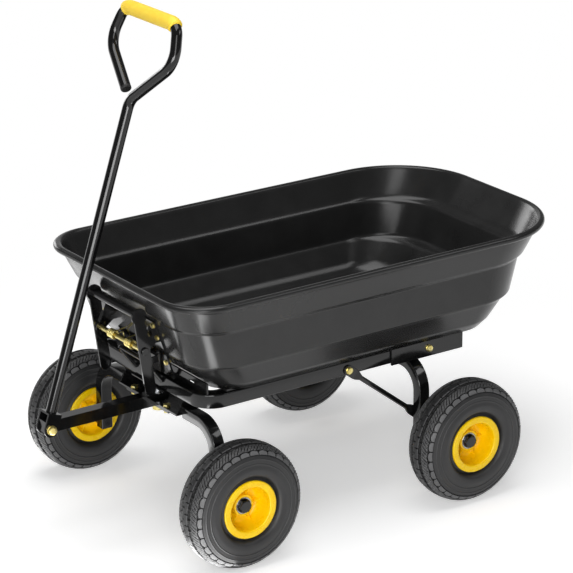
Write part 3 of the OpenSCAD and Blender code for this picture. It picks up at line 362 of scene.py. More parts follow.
def bolt(d, flats, head_h, grip, washer_t=1.2):
    """A bolt along Z: washer and head above the origin, washer, nut and thread end below its grip."""
    washer_d = flats * 1.18
    far = -grip
    nut_z = far - head_h
    return [
        pin(washer_d, 0, washer_t, 0.4),
        hexagon(flats, washer_t, head_h),
        pin(d, nut_z, 0.0, 0.6),
        pin(washer_d, far - washer_t, far, 0.4),
        turned_over(hexagon(flats, -far + washer_t, -nut_z)),
    ]


def turned_over(shape):
    """Half a turn about X."""
    return shape[0] * np.array([1, -1, -1]), shape[1]


def standing(shapes, origin, along):
    """Moves shapes from their own frame, where they stand along Z, to a place and a direction."""
    z = unit(np.asarray(along, float))
    x = unit(np.cross((0, 1, 0) if abs(z[1]) < 0.9 else (0, 0, 1), z))
    basis = np.stack([x, np.cross(z, x), z])
    return [(p @ basis + np.asarray(origin, float), f) for p, f in shapes]


def leaning(shapes, origin, degrees):
    """Turns shapes about Y, tops towards +X, and moves them to an origin given as (x, z)."""
    c, s = math.cos(math.radians(degrees)), math.sin(math.radians(degrees))
    basis = np.array([[c, 0, -s], [0, 1, 0], [s, 0, c]])
    return [(p @ basis + np.array([origin[0], 0, origin[1]]), f) for p, f in shapes]


def mirrored(shapes):
    """The same shapes on the cart's right, their faces turned round to point outward again."""
    return [(p * np.array([1, -1, 1]), [f[::-1] for f in faces]) for p, faces in shapes]


def both_sides(shapes):
    """The shapes on the cart's left and their mirror images on its right."""
    return shapes + mirrored(shapes)


def slab(low, high):
    """A box between two corners."""
    x, y, z = zip(low, high)
    rows = [[(x[i], y[j], level) for i, j in ((0, 0), (1, 0), (1, 1), (0, 1))] for level in z]
    return grid(np.array(rows, float))


# Finishes


def linear(colour):
    """sRGB hex to linear RGBA."""
    values = [int(colour[i:i + 2], 16) / 255 for i in (1, 3, 5)]
    return [v / 12.92 if v <= 0.04045 else ((v + 0.055) / 1.055) ** 2.4 for v in values] + [1.0]


def add(tree, kind, inputs, **settings):
    """Adds a node, sets its properties, and gives its inputs values or links."""
    node = tree.nodes.new(kind)
    for key, value in settings.items():
        setattr(node, key, value)
    for key, value in inputs.items():
        if isinstance(value, bpy.types.NodeSocket):
            tree.links.new(value, node.inputs[key])
        else:
            node.inputs[key].default_value = value
    return node


def blank(name):
    """A material with no nodes yet."""
    made = bpy.data.materials.new(name)
    made.use_nodes = True
    made.node_tree.nodes.clear()
    return made


def finish(name, tones, patch, rough, grain, relief, sockets=None, wave=0.0, wave_relief=0.0, painted_light_name=None):
    """A material whose colour and roughness drift between two values over patches of a given size in
    millimetres, with a fine grain and a slow wave in its surface, both given as size and relief. Where
    a piece carries an attribute of painted light, its colour goes with that from tone to tone, from painted
    shade to painted highlight, and drifts a little."""
    made = blank(name)
    tree = made.node_tree
    place = add(tree, "ShaderNodeTexCoord", {}).outputs["Object"]
    drift = add(tree, "ShaderNodeTexNoise", {"Vector": place, "Scale": 1 / (patch * MM), "Detail": 4.0})
    tone, stops = drift.outputs[0], (0.32, 0.68)
    if painted_light_name:
        # The attribute carries painted highlights and painted shade into the colour.
        painted_light = add(tree, "ShaderNodeAttribute", {}, attribute_name=painted_light_name)
        tone = add(tree, "ShaderNodeMath", {0: drift.outputs[0], 1: 0.1, 2: painted_light.outputs["Fac"]},
                   operation="MULTIPLY_ADD").outputs[0]
        stops = (0.05, 0.45, 1.0)
    ramp = add(tree, "ShaderNodeValToRGB", {"Fac": tone})
    while len(ramp.color_ramp.elements) < len(stops):
        ramp.color_ramp.elements.new(1.0)
    for stop, at, colour in zip(ramp.color_ramp.elements, stops, tones):
        stop.position = at
        stop.color = linear(colour)
    roughness = add(tree, "ShaderNodeMapRange", {
        "Value": drift.outputs[0], "From Min": 0.3, "From Max": 0.7,
        "To Min": rough[0], "To Max": rough[1]})
    fine = add(tree, "ShaderNodeTexNoise", {"Vector": place, "Scale": 1 / (grain * MM), "Detail": 2.0})
    bump = add(tree, "ShaderNodeBump", {
        "Strength": 1.0, "Distance": relief * MM, "Height": fine.outputs[0]})
    if wave:
        slow = add(tree, "ShaderNodeTexNoise", {"Vector": place, "Scale": 1 / (wave * MM), "Detail": 0.0})
        bump = add(tree, "ShaderNodeBump", {
            "Strength": 1.0, "Distance": wave_relief * MM, "Height": slow.outputs[0],
            "Normal": bump.outputs[0]})
    shader = add(tree, "ShaderNodeBsdfPrincipled", {
        "Base Color": ramp.outputs[0], "Roughness": roughness.outputs[0], "Normal": bump.outputs[0],
        **(sockets or {})})
    add(tree, "ShaderNodeOutputMaterial", {"Surface": shader.outputs[0]})
    return made


# Patch, grain and wave sizes are in millimetres. The grain is coarser than the real one, so that it shows.
FINISHES = {
    # Moulded black polyethylene: a soft gloss, a slight waviness where the wall shrank in the mould
    "tub_plastic": finish("moulded black polyethylene", ("#202020", "#252525"), 60, (0.2, 0.26), 1.6, 0.015,
                          {"IOR": 1.42}, 120, 0.4),
    # Gloss black powder coat on steel: deep black with crisp highlights and a faint orange peel
    "black_steel": finish("black powder coat", ("#0b0b0b", "#101011"), 30, (0.08, 0.13), 2.2, 0.012,
                          {"IOR": 1.5}),
    # Yellow passivated zinc: pale gold metal that drifts towards straw
    "zinc_steel": finish("yellow zinc plate", ("#e6dc9c", "#cdb765"), 6, (0.24, 0.36), 0.8, 0.02,
                         {"Metallic": 1.0}),
    # Ground bearing steel: plain grey metal with a soft shine
    "bearing_steel": finish("ground bearing steel", ("#b9bbbd", "#8e9093"), 5, (0.2, 0.32), 0.7, 0.015,
                            {"Metallic": 1.0}),
    # Moulded tyre rubber: satin dark grey, with painted shade that blackens the tread's grooves and painted
    # highlights that make its block edges, tabs and ridges pale
    "tyre_rubber": finish("moulded tyre rubber", ("#070707", "#232324", "#6a6a6b"), 25, (0.42, 0.55),
                          0.9, 0.05, {"IOR": 1.52}, painted_light_name="painted_light"),
    # Moulded yellow polypropylene: bright and glossy
    "rim_plastic": finish("moulded yellow polypropylene", ("#ffcf00", "#ffd60a"), 20, (0.24, 0.32),
                          1.4, 0.02, {"IOR": 1.42}),
    # Soft yellow vinyl sleeve: matt, with a fine leathery grain
    "grip_plastic": finish("soft yellow vinyl", ("#fed434", "#ffdc44"), 15, (0.48, 0.6), 1.0, 0.06,
                           {"IOR": 1.5}),
    # Matt black polyethylene: a dull black that hardly shines
    "plug_plastic": finish("matt black polyethylene", ("#131313", "#191919"), 8, (0.5, 0.62), 0.9, 0.04,
                           {"IOR": 1.5}),
}


# Putting pieces into the model


def metres(points):
    """Points of this script's frame in the model's."""
    return (points + np.array([ORIGIN_X, 0, 0])) * MM


def put(name, shapes, slot, body, *nodes, bevel=0.0, sharp=40):
    """Makes one object of shapes, in metres, and enters it for the nodes it stands for."""
    starts = np.cumsum([0] + [len(p) for p, _ in shapes])
    points = metres(np.concatenate([p for p, _ in shapes]))
    faces = [[start + i for i in f] for start, (_, fs) in zip(starts.tolist(), shapes) for f in fs]
    mesh = bpy.data.meshes.new(name)
    mesh.from_pydata(points.tolist(), [], faces)
    return adopt(name, mesh, slot, body, nodes, bevel, sharp)


def adopt(name, mesh, slot, body, nodes, bevel, sharp):
    """Smooths a mesh up to an angle, eases its sharper edges by a bevel in millimetres, and enters it as a
    piece that hides its nodes and rides on its body. A piece that bends with two bodies names none here."""
    mesh.polygons.foreach_set("use_smooth", [True] * len(mesh.polygons))
    mesh.set_sharp_from_angle(angle=math.radians(sharp))
    mesh.materials.clear()
    mesh.materials.append(FINISHES[slot])
    made = bpy.data.objects.new(name, mesh)
    bpy.context.scene.collection.objects.link(made)
    if bevel:
        ease = made.modifiers.new("eased edges", "BEVEL")
        ease.width = bevel * MM
        ease.segments = 2
        ease.limit_method = "ANGLE"
        ease.angle_limit = math.radians(sharp)
        ease.harden_normals = True
    if body:
        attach(made, body)
    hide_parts(*nodes)
    return made


def eased(node, slot, body, bevel=0.9):
    """A merged copy of a plate's solid, with its edges eased, that stands for the node."""
    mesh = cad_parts[node].data.copy()
    work = bmesh.new()
    work.from_mesh(mesh)
    bmesh.ops.remove_doubles(work, verts=work.verts, dist=1e-5)
    bmesh.ops.dissolve_limit(work, angle_limit=math.radians(1), verts=work.verts, edges=work.edges)
    work.to_mesh(mesh)
    work.free()
    for layer in list(mesh.attributes):
        if layer.name == "custom_normal":
            mesh.attributes.remove(layer)
    return adopt(node + "_eased", mesh, slot, body, [node], bevel, 30)


# Wheels


def smooth_step(x, low, high):
    """0 below low, 1 above high, and 3t^2 - 2t^3 between."""
    t = np.clip((x - low) / (high - low), 0, 1)
    return t * t * (3 - 2 * t)


def gap(x, half, soft=0.9):
    """1 inside a groove of a half width about x = 0, falling to 0 over a soft edge."""
    return 1 - smooth_step(np.abs(x), half - soft / 2, half + soft / 2)


def band(x, low, high, soft=0.8):
    """1 between low and high, falling to 0 over a soft edge on both sides."""
    half = soft / 2
    return smooth_step(x, low - half, low + half) * (1 - smooth_step(x, high - half, high + half))


def tyre_section():
    """Points (radius, y) of the tyre's section at chosen distances along it from the crown, with those
    distances: a superellipse round (SECTION_R, 0), from bead to bead. Rows lie close where a groove's
    wall falls or a ridge stands."""
    low = -math.asin(((SECTION_R - FLANGE_R - 0.3) / SECTION_H) ** (1 / SECTION_POWER))
    angle = np.linspace(low, math.pi - low, 4001)
    s, c = np.sin(angle), np.cos(angle)
    radius = SECTION_R + SECTION_H * np.sign(s) * np.abs(s) ** SECTION_POWER
    y = TYRE_HALF_W * np.sign(c) * np.abs(c) ** SECTION_POWER
    run = np.concatenate([[0], np.cumsum(np.hypot(np.diff(radius), np.diff(y)))])
    run -= run[-1] / 2
    half = np.concatenate([
        [0, 2.5, 5, 7.4, 8.3, 8.8, 9.8, 12, 14.5, 16.4],
        np.arange(17.2, 35.8, 0.9),
        [36.8, 38, 39.2, 40.4, 41.6, 42.6, 43.3, 43.8, 44.3, 44.9, 46.5, 49],
        [51.4, 52.3, 53, 53.7, 54.6, 57, 59.5, 61.4, 62.3, 63, 63.7, 64.6],
        np.linspace(66.5, run[-1], 12)])
    at = np.concatenate([-half[:0:-1], half])
    return np.interp(at, run, radius), np.interp(at, run, y), at


def tread(across, around):
    """Depth of the tread's grooves, and its painted light, at a distance across from the crown and at a
    distance around, both in millimetres. From the crown outwards each side has half a row of centre blocks, a
    deep groove crossed by bars, a row of fine slanting teeth, a zigzag cut, tabs parted by Y-shaped gaps, and
    a plain sidewall with two ring ridges. The two sides are half a pitch apart. The painted light is higher
    on tabs, edges and ridges than on plain rubber, as painted highlights, and falls to nothing down in the
    grooves, as painted shade."""
    pitch = 2 * math.pi * TYRE_R / LUGS
    phase = around / pitch + np.where(across > 0, 0.0, 0.5)
    w = np.abs(across)
    from_slot = ((phase + 0.5) % 1 - 0.5) * pitch
    from_bar = (phase % 1 - 0.5) * pitch
    zigzag = np.abs((2 * phase) % 2 - 1) * 2 - 1
    tooth = (TEETH_PER_LUG * phase + TEETH_SLANT * (w - TEETH_SLANT_FROM)) % 1
    tooth = (tooth - 0.5) * pitch / TEETH_PER_LUG
    teeth = band(w, GROOVE_EDGE + 0.2, TEETH_EDGE)
    centre = gap(from_slot, SLOT_HALF) * (1 - smooth_step(w, CENTRE_EDGE - 0.25, CENTRE_EDGE + 0.25))
    groove = band(w, CENTRE_EDGE, GROOVE_EDGE, 0.9) * (1 - 0.75 * gap(from_bar, BAR_HALF, 1.2))
    cuts = teeth * gap(tooth, 1.2, 1.1) * (0.45 + 0.55 * gap(w - TEETH_MID - 4.5 * zigzag, 3.0, 3.0))
    seam = gap(w - SEAM_AT - 0.9 * zigzag, 0.8)
    y_half = SLOT_HALF + 2.9 * (1 - smooth_step(w, SEAM_AT + 0.6, SEAM_AT + 5.0))
    y_gap = gap(from_slot, y_half, 1.2) * band(w, SEAM_AT, TAB_EDGE)
    line = gap(w - TAB_EDGE, 0.45, 0.6)
    sidewall = smooth_step(w, TAB_EDGE - 0.4, TAB_EDGE + 0.6) * SIDEWALL_DEPTH * (1 - smooth_step(w, 64, 76))
    ridges = sum(RIDGE_H * gap(w - at, 0.55, 0.9) for at in RIDGES_AT)
    depth = np.maximum.reduce(np.broadcast_arrays(
        CENTRE_DEPTH * centre, GROOVE_DEPTH * groove, TOOTH_DEPTH * cuts, SEAM_DEPTH * seam,
        TAB_GAP_DEPTH * y_gap, LINE_DEPTH * line, sidewall - ridges))
    # Painted light: painted highlights on the tabs, the block edges and the ridges, and painted shade down in
    # the grooves.
    plain = smooth_step(w, TAB_EDGE, TAB_EDGE + 1)
    tabs = band(w, SEAM_AT + 0.6, TAB_EDGE - 0.4)
    edges = teeth * gap(np.abs(tooth) - 2.1, 0.7, 0.8) + gap(w - 8.0, 0.5)
    painted_light = PLAIN_PAINTED_LIGHT + 0.35 * tabs * (1 - y_gap) + 0.45 * edges * (1 - plain)
    painted_light = painted_light + 0.12 * plain * (ridges > 0.3)
    painted_light -= PLAIN_PAINTED_LIGHT * np.clip((depth - sidewall) / TOOTH_DEPTH, 0, 1)
    return depth, np.clip(painted_light, 0, 1)


def tyre():
    """The section carried round the axle, each point set in by the tread's depth along the section's
    own normal, and closed through the beads under the rim's flanges. The sidewall dips next to the
    flange. Gives the shape and each point's painted light: painted highlights and painted shade."""
    radius, y, at = tyre_section()
    columns = LUGS * COLUMNS_PER_LUG
    angle = np.arange(columns) * 2 * math.pi / columns
    normal = np.stack([np.gradient(y), -np.gradient(radius)])
    normal /= np.linalg.norm(normal, axis=0)
    normal *= np.sign(normal[0] * (radius - SECTION_R) + normal[1] * y)
    depth, painted_light = tread(at[:, None], angle * TYRE_R)
    dip = FLANGE_DIP * (1 - smooth_step(radius, FLANGE_R, FLANGE_R + FLANGE_DIP_W))
    depth = np.maximum(depth, 0) + dip[:, None]
    r = radius[:, None] - normal[0][:, None] * depth
    across = y[:, None] - normal[1][:, None] * depth
    half = SEAT_HALF + 0.1
    foot, top = SEAT_R + 0.3, SEAT_R + 5.2
    beads = np.array([(top, -half), (foot, -half), (foot, half), (top, half)])
    beads = beads if y[-1] < 0 else beads[::-1]
    r = np.concatenate([r, np.repeat(beads[:, :1], columns, axis=1)])
    across = np.concatenate([across, np.repeat(beads[:, 1:], columns, axis=1)])
    painted_light = np.concatenate([painted_light, np.full((len(beads), columns), PLAIN_PAINTED_LIGHT)])
    return [grid(np.stack([r * np.cos(angle), across, r * np.sin(angle)], -1), looped=True)], painted_light.ravel()


def rim_face(hub, web):
    """One face of the rim from the bore out to the flange's edge, as (radius, height) points: a hub, a web
    that curves up as a quarter of an ellipse into a flaring wall, and a broad rounded flange."""
    edge = np.linspace(math.pi / 2, -math.pi / 6, 7)
    flange = np.stack([FLANGE_R + FLANGE_ROUND * (np.cos(edge) - 1),
                       RIM_HALF + FLANGE_ROUND * (np.sin(edge) - 1)], -1)
    rise = np.linspace(math.pi, math.pi / 2, 6)
    lip = np.stack([LIP_R + LIP_ROUND * np.cos(rise), RIM_HALF + LIP_ROUND * (np.sin(rise) - 1)], -1)
    end = [(BEARING_R + 0.1, hub - 0.6), (BEARING_R + 0.7, hub), (HUB_R - 1.2, hub),
           (HUB_R - 0.3, hub - 0.5), (HUB_R, hub - 1.6)]
    run = np.linspace(0, 1, 12)[:, None]
    hub_wall = (1 - run) * (HUB_R, hub - 2.5) + run * (HUB_R + 0.8, web + 3.5)
    foot = [(HUB_R + 1.6, web + 1.4), (HUB_R + 3.2, web + 0.4), (HUB_R + 5.0, web)]
    sweep = np.linspace(0, math.pi / 2, 14)[1:]
    bowl_r = BOWL_R + BOWL_REACH * np.sin(sweep)
    bowl_z = web + (RIM_HALF - BOWL_DEPTH - web) * (1 - np.cos(sweep)) ** BOWL_POWER
    flat = [(LIP_R + 3.1, RIM_HALF), (LIP_R + 5.6, RIM_HALF)]
    return np.concatenate([end, hub_wall, foot, np.stack([bowl_r, bowl_z], -1), lip, flat, flange])


def ribbed_face(hub, web, rib, angle):
    """A rim face carried round the axle as (radius, height) arrays. Between hub and bowl it is lifted to
    the ribs' sloping tops where the angle is within a rib's half width of a multiple of 60 degrees."""
    face = rim_face(hub, web)
    radius, height = face[:, :1], face[:, 1:]
    from_rib = (angle * RIBS / (2 * math.pi) + 0.5) % 1 - 0.5
    from_rib = np.abs(from_rib) * 2 * math.pi / RIBS * radius
    rib_top = rib - RIB_SLOPE * (radius - HUB_R)
    in_bowl = (radius > HUB_R - 0.1) & (radius < RIB_END_R) & (height < rib_top)
    rise = np.where(in_bowl, rib_top - height, 0)
    return np.repeat(radius, len(angle), axis=1), height + rise * (1 - smooth_step(from_rib, *RIB_HALF_T))


def rim():
    """The outer face, the tyre's seat between the flanges, and the inner face turned inward."""
    angle = np.arange(RIM_COLUMNS) * 2 * math.pi / RIM_COLUMNS
    out_r, out_y = ribbed_face(HUB_OUT, WEB_OUT, RIB_OUT, angle)
    in_r, in_y = ribbed_face(HUB_IN, WEB_IN, RIB_IN, angle)
    edge = FLANGE_R - 0.4
    seat = np.array([(edge, SEAT_HALF), (SEAT_R, SEAT_HALF), (SEAT_R, -SEAT_HALF), (edge, -SEAT_HALF)])
    seat_r, seat_y = (np.repeat(seat[:, i:i + 1], len(angle), axis=1) for i in (0, 1))
    r = np.concatenate([out_r, seat_r, in_r[::-1]])
    y = np.concatenate([out_y, seat_y, -in_y[::-1]])
    return [grid(np.stack([r * np.cos(angle), y, r * np.sin(angle)], -1), looped=True)]


def bearing_pair():
    """A shielded bearing at each end of the hub: two rings with a groove and a shield between them."""
    face = [(AXLE_R + 0.1, 0), (AXLE_R + 0.6, 0.5), (AXLE_R + 3.0, 0.5), (AXLE_R + 3.3, -0.8),
            (BEARING_R - 3.6, -0.8), (BEARING_R - 3.3, 0.5), (BEARING_R - 0.5, 0.5), (BEARING_R, 0)]
    face = np.array(face) - (0, 0.5)
    back = [(BEARING_R, -BEARING_W), (AXLE_R + 0.1, -BEARING_W)]
    one = turned(np.concatenate([face, back]), 64, looped=True)
    return standing([one], (0, HUB_OUT, 0), (0, 1, 0)) + standing([one], (0, -HUB_IN, 0), (0, -1, 0))


def valve_stem():
    """A stem with a waisted foot, a thin neck and a ribbed cap, along Z."""
    steps = np.linspace(0, 1, 9)
    cap = np.stack([3.0 - 0.25 * (np.arange(9) % 2), 12.4 + 9.0 * steps], -1)
    foot = [(4.0, 0), (4.0, 9), (3.4, 11), (2.6, 11.8)]
    return turned(np.concatenate([foot, cap, [(2.4, 22.0)]]), 24)


def axle_nut():
    """A thin washer and a chamfered nut round the end of the stub axle, along Z."""
    return [pin(AXLE_WASHER_D, 0, 2, 0.5), hexagon(AXLE_NUT_FLATS, 2, 8), pin(2 * AXLE_R - 0.4, 7, 7.95, 0.4)]


def at_wheel(shapes, end, side):
    """Moves a wheel's shapes from its own middle to its corner of the cart."""
    placed = [(p + np.array([end * AXLE_X, WHEEL_Y, AXLE_Z]), f) for p, f in shapes]
    return placed if side == "left" else mirrored(placed)


TYRE, TYRE_PAINTED_LIGHT = tyre()
RIM = rim()
BEARINGS = bearing_pair()
for end_name, end in (("front", 1), ("rear", -1)):
    for side in ("left", "right"):
        corner = f"{end_name}_{side}"
        body = f"wheel_{corner}"
        treaded = put(f"tyre_{corner}_treaded", at_wheel(TYRE, end, side), "tyre_rubber", body,
                      f"tyre_{corner}")
        # The tyre's painted highlights and painted shade reach its colour through this attribute.
        treaded.data.attributes.new("painted_light", "FLOAT", "POINT").data.foreach_set("value", TYRE_PAINTED_LIGHT)
        put(f"rim_{corner}_ribbed", at_wheel(RIM, end, side), "rim_plastic", body, f"rim_{corner}")
        put(f"bearings_{corner}_shielded", at_wheel(BEARINGS, end, side), "bearing_steel", body,
            f"bearings_{corner}")
        low, high = (np.array(c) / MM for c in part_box(f"valve_{corner}"))
        middle = (low + high) / 2 - (ORIGIN_X, 0, 0)
        outer = 1 if side == "left" else -1
        foot = (middle[0], low[1] if outer > 0 else high[1], middle[2])
        put(f"valve_{corner}_capped", standing([valve_stem()], foot, (0, outer, 0)), "plug_plastic", body,
            f"valve_{corner}")
    axle_body = "front_axle" if end > 0 else "chassis"
    axle = [pin(2 * AXLE_R, LEG_Y - LEG / 2, AXLE_END, 0.8),
            pin(AXLE_COLLAR_D, LEG_Y + LEG / 2, WHEEL_Y - HUB_IN - 0.3, 1.2)]
    axle = standing(axle, (end * AXLE_X, 0, AXLE_Z), (0, 1, 0))
    put(f"{end_name}_stub_axles_turned", both_sides(axle), "black_steel", axle_body,
        f"{end_name}_stub_axles")
    nut = standing(axle_nut(), (end * AXLE_X, WHEEL_Y + HUB_OUT + 0.3, AXLE_Z), (0, 1, 0))
    put(f"{end_name}_axle_nuts_chamfered", both_sides(nut), "black_steel", axle_body,
        f"{end_name}_axle_nuts")


# Chassis

rail_path = bent([(HINGE_X, RAIL_Y, FRAME_Z), (FRAME_FRONT_X, RAIL_Y, FRAME_Z),
                  (FRAME_FRONT_X, -RAIL_Y, FRAME_Z), (HINGE_X, -RAIL_Y, FRAME_Z)], [FRAME_BEND] * 2)
rail_end = [pin(RAIL, RAIL_Y - RAIL / 2, RAIL_Y + RAIL / 2, 2.0)]
rail_end = standing(rail_end, (HINGE_X, 0, FRAME_Z), (0, 1, 0))
rails = [swept(rail_path, rounded_square(RAIL, RAIL_CORNER), (0, 0, 1))]
put("frame_rails_bent", rails + both_sides(rail_end), "black_steel", "chassis", "frame_rails")

cross_half = RAIL_Y - RAIL / 2
cross_path = np.array([(CROSS_X, -cross_half, FRAME_Z), (CROSS_X, cross_half, FRAME_Z)])
put("cross_member_tube", [swept(cross_path, rounded_square(LEG, TUBE_CORNER), (0, 0, 1))],
    "black_steel", "chassis", "cross_member")

for plate_name in ("front_plate", "kingpin_plate", "arch_seats"):
    eased(plate_name, "black_steel", "chassis")

foot_x, foot_z = CATCH_FOOT
bar_x, bar_z = CATCH_BAR
catch_path = bent([(foot_x, -CATCH_HALF_W, foot_z), (bar_x, -CATCH_HALF_W, bar_z),
                   (bar_x, CATCH_HALF_W, bar_z), (foot_x, CATCH_HALF_W, foot_z)], [CATCH_BEND] * 2)
catch_axis = np.cross((0, 1, 0), (bar_x - foot_x, 0, bar_z - foot_z))
put("catch_loop_bent", [swept(catch_path, circle(CATCH_D, 24), unit(catch_axis))],
    "black_steel", "chassis", "catch_loop")

leg_foot_z = AXLE_Z - LEG / 2
arch_path = bent([(ARCH_X, -LEG_Y, leg_foot_z), (ARCH_X, -LEG_Y, ARCH_Z), (ARCH_X, LEG_Y, ARCH_Z),
                  (ARCH_X, LEG_Y, leg_foot_z)], [LEG_BEND] * 2)
foot_path = np.array([(-AXLE_X - LEG / 2, LEG_Y, AXLE_Z), (ARCH_X, LEG_Y, AXLE_Z)])
arch_foot = [swept(foot_path, rounded_square(LEG, TUBE_CORNER), (0, 0, 1))]
rear_arch = [swept(arch_path, rounded_square(LEG, TUBE_CORNER), (1, 0, 0))] + both_sides(arch_foot)
put("rear_arch_bent", rear_arch, "black_steel", "chassis", "rear_arch")


def brace():
    """A tube whose ends are pressed flat and rounded: its half width and half thickness go from the
    tube's radius to the tab's along its length, and its section from a circle towards a rectangle."""
    run = np.linalg.norm(BRACE_TOP - BRACE_LOW)
    tip = BRACE_TAB_HALF
    round_end = tip * (1 - np.cos(np.linspace(0, math.pi / 2, 9)))
    along = np.concatenate([round_end - tip, np.linspace(1, 16, 4), np.linspace(*BRACE_PRESS, 14)])
    along = np.concatenate([along, run - along[::-1]])
    from_end = np.minimum(along, run - along)
    flat = 1 - smooth_step(from_end, *BRACE_PRESS)
    tab = np.sqrt(np.clip(tip ** 2 - np.minimum(from_end, 0) ** 2, 0.3, None))
    half_w = flat * tab + (1 - flat) * BRACE_D / 2
    half_t = flat * BRACE_TAB_T / 2 + (1 - flat) * BRACE_D / 2
    power = 2 / (2 + 6 * flat)
    angle = np.arange(32) * 2 * math.pi / 32
    c, s = np.cos(angle), np.sin(angle)
    u = half_w[:, None] * np.sign(c) * np.abs(c) ** power[:, None]
    v = half_t[:, None] * np.sign(s) * np.abs(s) ** power[:, None]
    heading = (BRACE_TOP - BRACE_LOW) / run
    side = np.array([-heading[1], heading[0]])
    x = BRACE_LOW[0] + heading[0] * along[:, None] + side[0] * u
    z = BRACE_LOW[1] + heading[1] * along[:, None] + side[1] * u
    y = BRACE_Y + BRACE_SHIFT * (smooth_step(along, 20, run - 20)[:, None] - 0.5) + v
    return [grid(np.stack([x, y, z], -1))]


put("brace_left_pressed", brace(), "black_steel", "chassis", "brace_left")
put("brace_right_pressed", mirrored(brace()), "black_steel", "chassis", "brace_right")

brace_bolts = []
for (x, z), way in ((BRACE_TOP, 1), (BRACE_LOW, -1)):
    face_y = BRACE_Y + way * BRACE_BOLT_GRIP / 2
    brace_bolts += standing(bolt(*M8, BRACE_BOLT_GRIP), (x, face_y, z), (0, way, 0))
put("brace_bolts_hex", both_sides(brace_bolts), "zinc_steel", "chassis", "brace_bolts")

hinge_bolts = standing(bolt(*M8, HINGE_BOLT_GRIP), (HINGE_X, RAIL_Y + HINGE_BOLT_OUT, FRAME_Z), (0, 1, 0))
put("hinge_bolts_hex", both_sides(hinge_bolts), "zinc_steel", "chassis", "hinge_bolts")

kingpin_nut = [hexagon(KINGPIN_NUT_FLATS, 0, KINGPIN_NUT_H)]
kingpin_nut = standing(kingpin_nut, (AXLE_X, 0, KINGPIN_NUT_Z), (0, 0, -1))
put("kingpin_nut_chamfered", kingpin_nut, "zinc_steel", "chassis", "kingpin_nut")
kingpin = standing([pin(KINGPIN_D, KINGPIN_LOW, KINGPIN_TOP)], (AXLE_X, 0, 0), (0, 0, 1))
put("kingpin_turned", kingpin, "black_steel", "chassis", "kingpin")
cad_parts["thrust_bush"].data.materials.clear()
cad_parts["thrust_bush"].data.materials.append(FINISHES["bearing_steel"])


# Front axle, tongue and handle

eased("turning_bracket", "black_steel", "front_axle")

leg_path = bent([(AXLE_X, BRACKET_HALF_W, FRONT_LEG_Z), (AXLE_X, LEG_Y, FRONT_LEG_Z),
                 (AXLE_X, LEG_Y, leg_foot_z)], [LEG_BEND])
front_leg = [swept(leg_path, rounded_square(LEG, TUBE_CORNER), (1, 0, 0))]
put("front_leg_left_bent", front_leg, "black_steel", "front_axle", "front_leg_left")
put("front_leg_right_bent", mirrored(front_leg), "black_steel", "front_axle", "front_leg_right")

eased("tongue", "black_steel", "front_axle", 2.0)

bracket_bolts = standing(bolt(*M8, BRACKET_BOLT_GRIP),
                         (AXLE_X + BRACKET_BOLT_AHEAD, BRACKET_BOLT_Y, BRACKET_Z + PLATE), (0, 0, 1))
put("bracket_bolts_hex", both_sides(bracket_bolts), "zinc_steel", "front_axle", "bracket_bolts")


def at_handle(shapes):
    """Moves shapes from the handle's own frame, with the pivot at its origin, to its place."""
    return leaning(shapes, (PIVOT_X, PIVOT_Z), -HANDLE_LEAN)


loop_path = bent([(0, y, z) for y, z in LOOP], LOOP_BENDS, 20)
put("handle_tube_bent", at_handle([swept(loop_path, circle(HANDLE_D, 40), (1, 0, 0))]),
    "black_steel", "pull_handle", "handle_tube")


def grip():
    """A sleeve along the loop's top bar and half of both end bends, its radius rounded off over the last
    few millimetres at each end."""
    path = bent([(0, y, z) for y, z in LOOP[2:6]], LOOP_BENDS[2:4], GRIP_BEND_STEPS)[1:-1]
    path = path[GRIP_BEND_STEPS // 2:-GRIP_BEND_STEPS // 2]
    run = np.concatenate([[0], np.cumsum(np.linalg.norm(np.diff(path, axis=0), axis=1))])
    rounded = GRIP_ROUND * (1 - np.cos(np.linspace(0, math.pi / 2, 7)))
    at = np.concatenate([rounded, np.linspace(GRIP_ROUND + 3, run[-1] / 2, 40)])
    at = np.concatenate([at, run[-1] - at[-2::-1]])
    path = np.stack([np.interp(at, run, path[:, i]) for i in range(3)], -1)
    from_end = np.minimum(at, run[-1] - at)
    rounding = np.sqrt(np.clip(1 - (1 - from_end / GRIP_ROUND) ** 2, 0, 1))
    rounding = np.where(from_end > GRIP_ROUND, 1, rounding)
    inner = HANDLE_D / 2 + 0.3
    radius = inner + (GRIP_D / 2 - inner) * rounding
    profile = radius[:, None, None] * circle(2, 40)
    return [swept(path, profile, (1, 0, 0))]


put("hand_grip_sleeve", at_handle(grip()), "grip_plastic", "pull_handle", "hand_grip")


def end_plug():
    """A plug with a rounded cap, along Z, with its stem in the tube."""
    angle = np.linspace(0, math.pi / 2, 7)
    cap = np.stack([HANDLE_D / 2 - 3 + 3 * np.cos(angle), 3 + 3 * np.sin(angle)], -1)
    return turned(np.concatenate([[(8.5, -18), (9.2, 0), (HANDLE_D / 2, 0.0)], cap]), 40)


tail = np.array([0.0, *LOOP[-1]])
tail_heading = tail - np.array([0.0, *LOOP[-2]])
put("handle_end_plug_capped", at_handle(standing([end_plug()], tail, tail_heading)),
    "plug_plastic", "pull_handle", "handle_end_plug")

eased("handle_fork", "black_steel", "pull_handle", 1.4)
put("pivot_bolt_hex", at_handle(standing(bolt(*M10, 2 * FORK_FACE_Y), (0, FORK_FACE_Y, 0), (0, 1, 0))),
    "zinc_steel", "pull_handle", "pivot_bolt")


# Tub


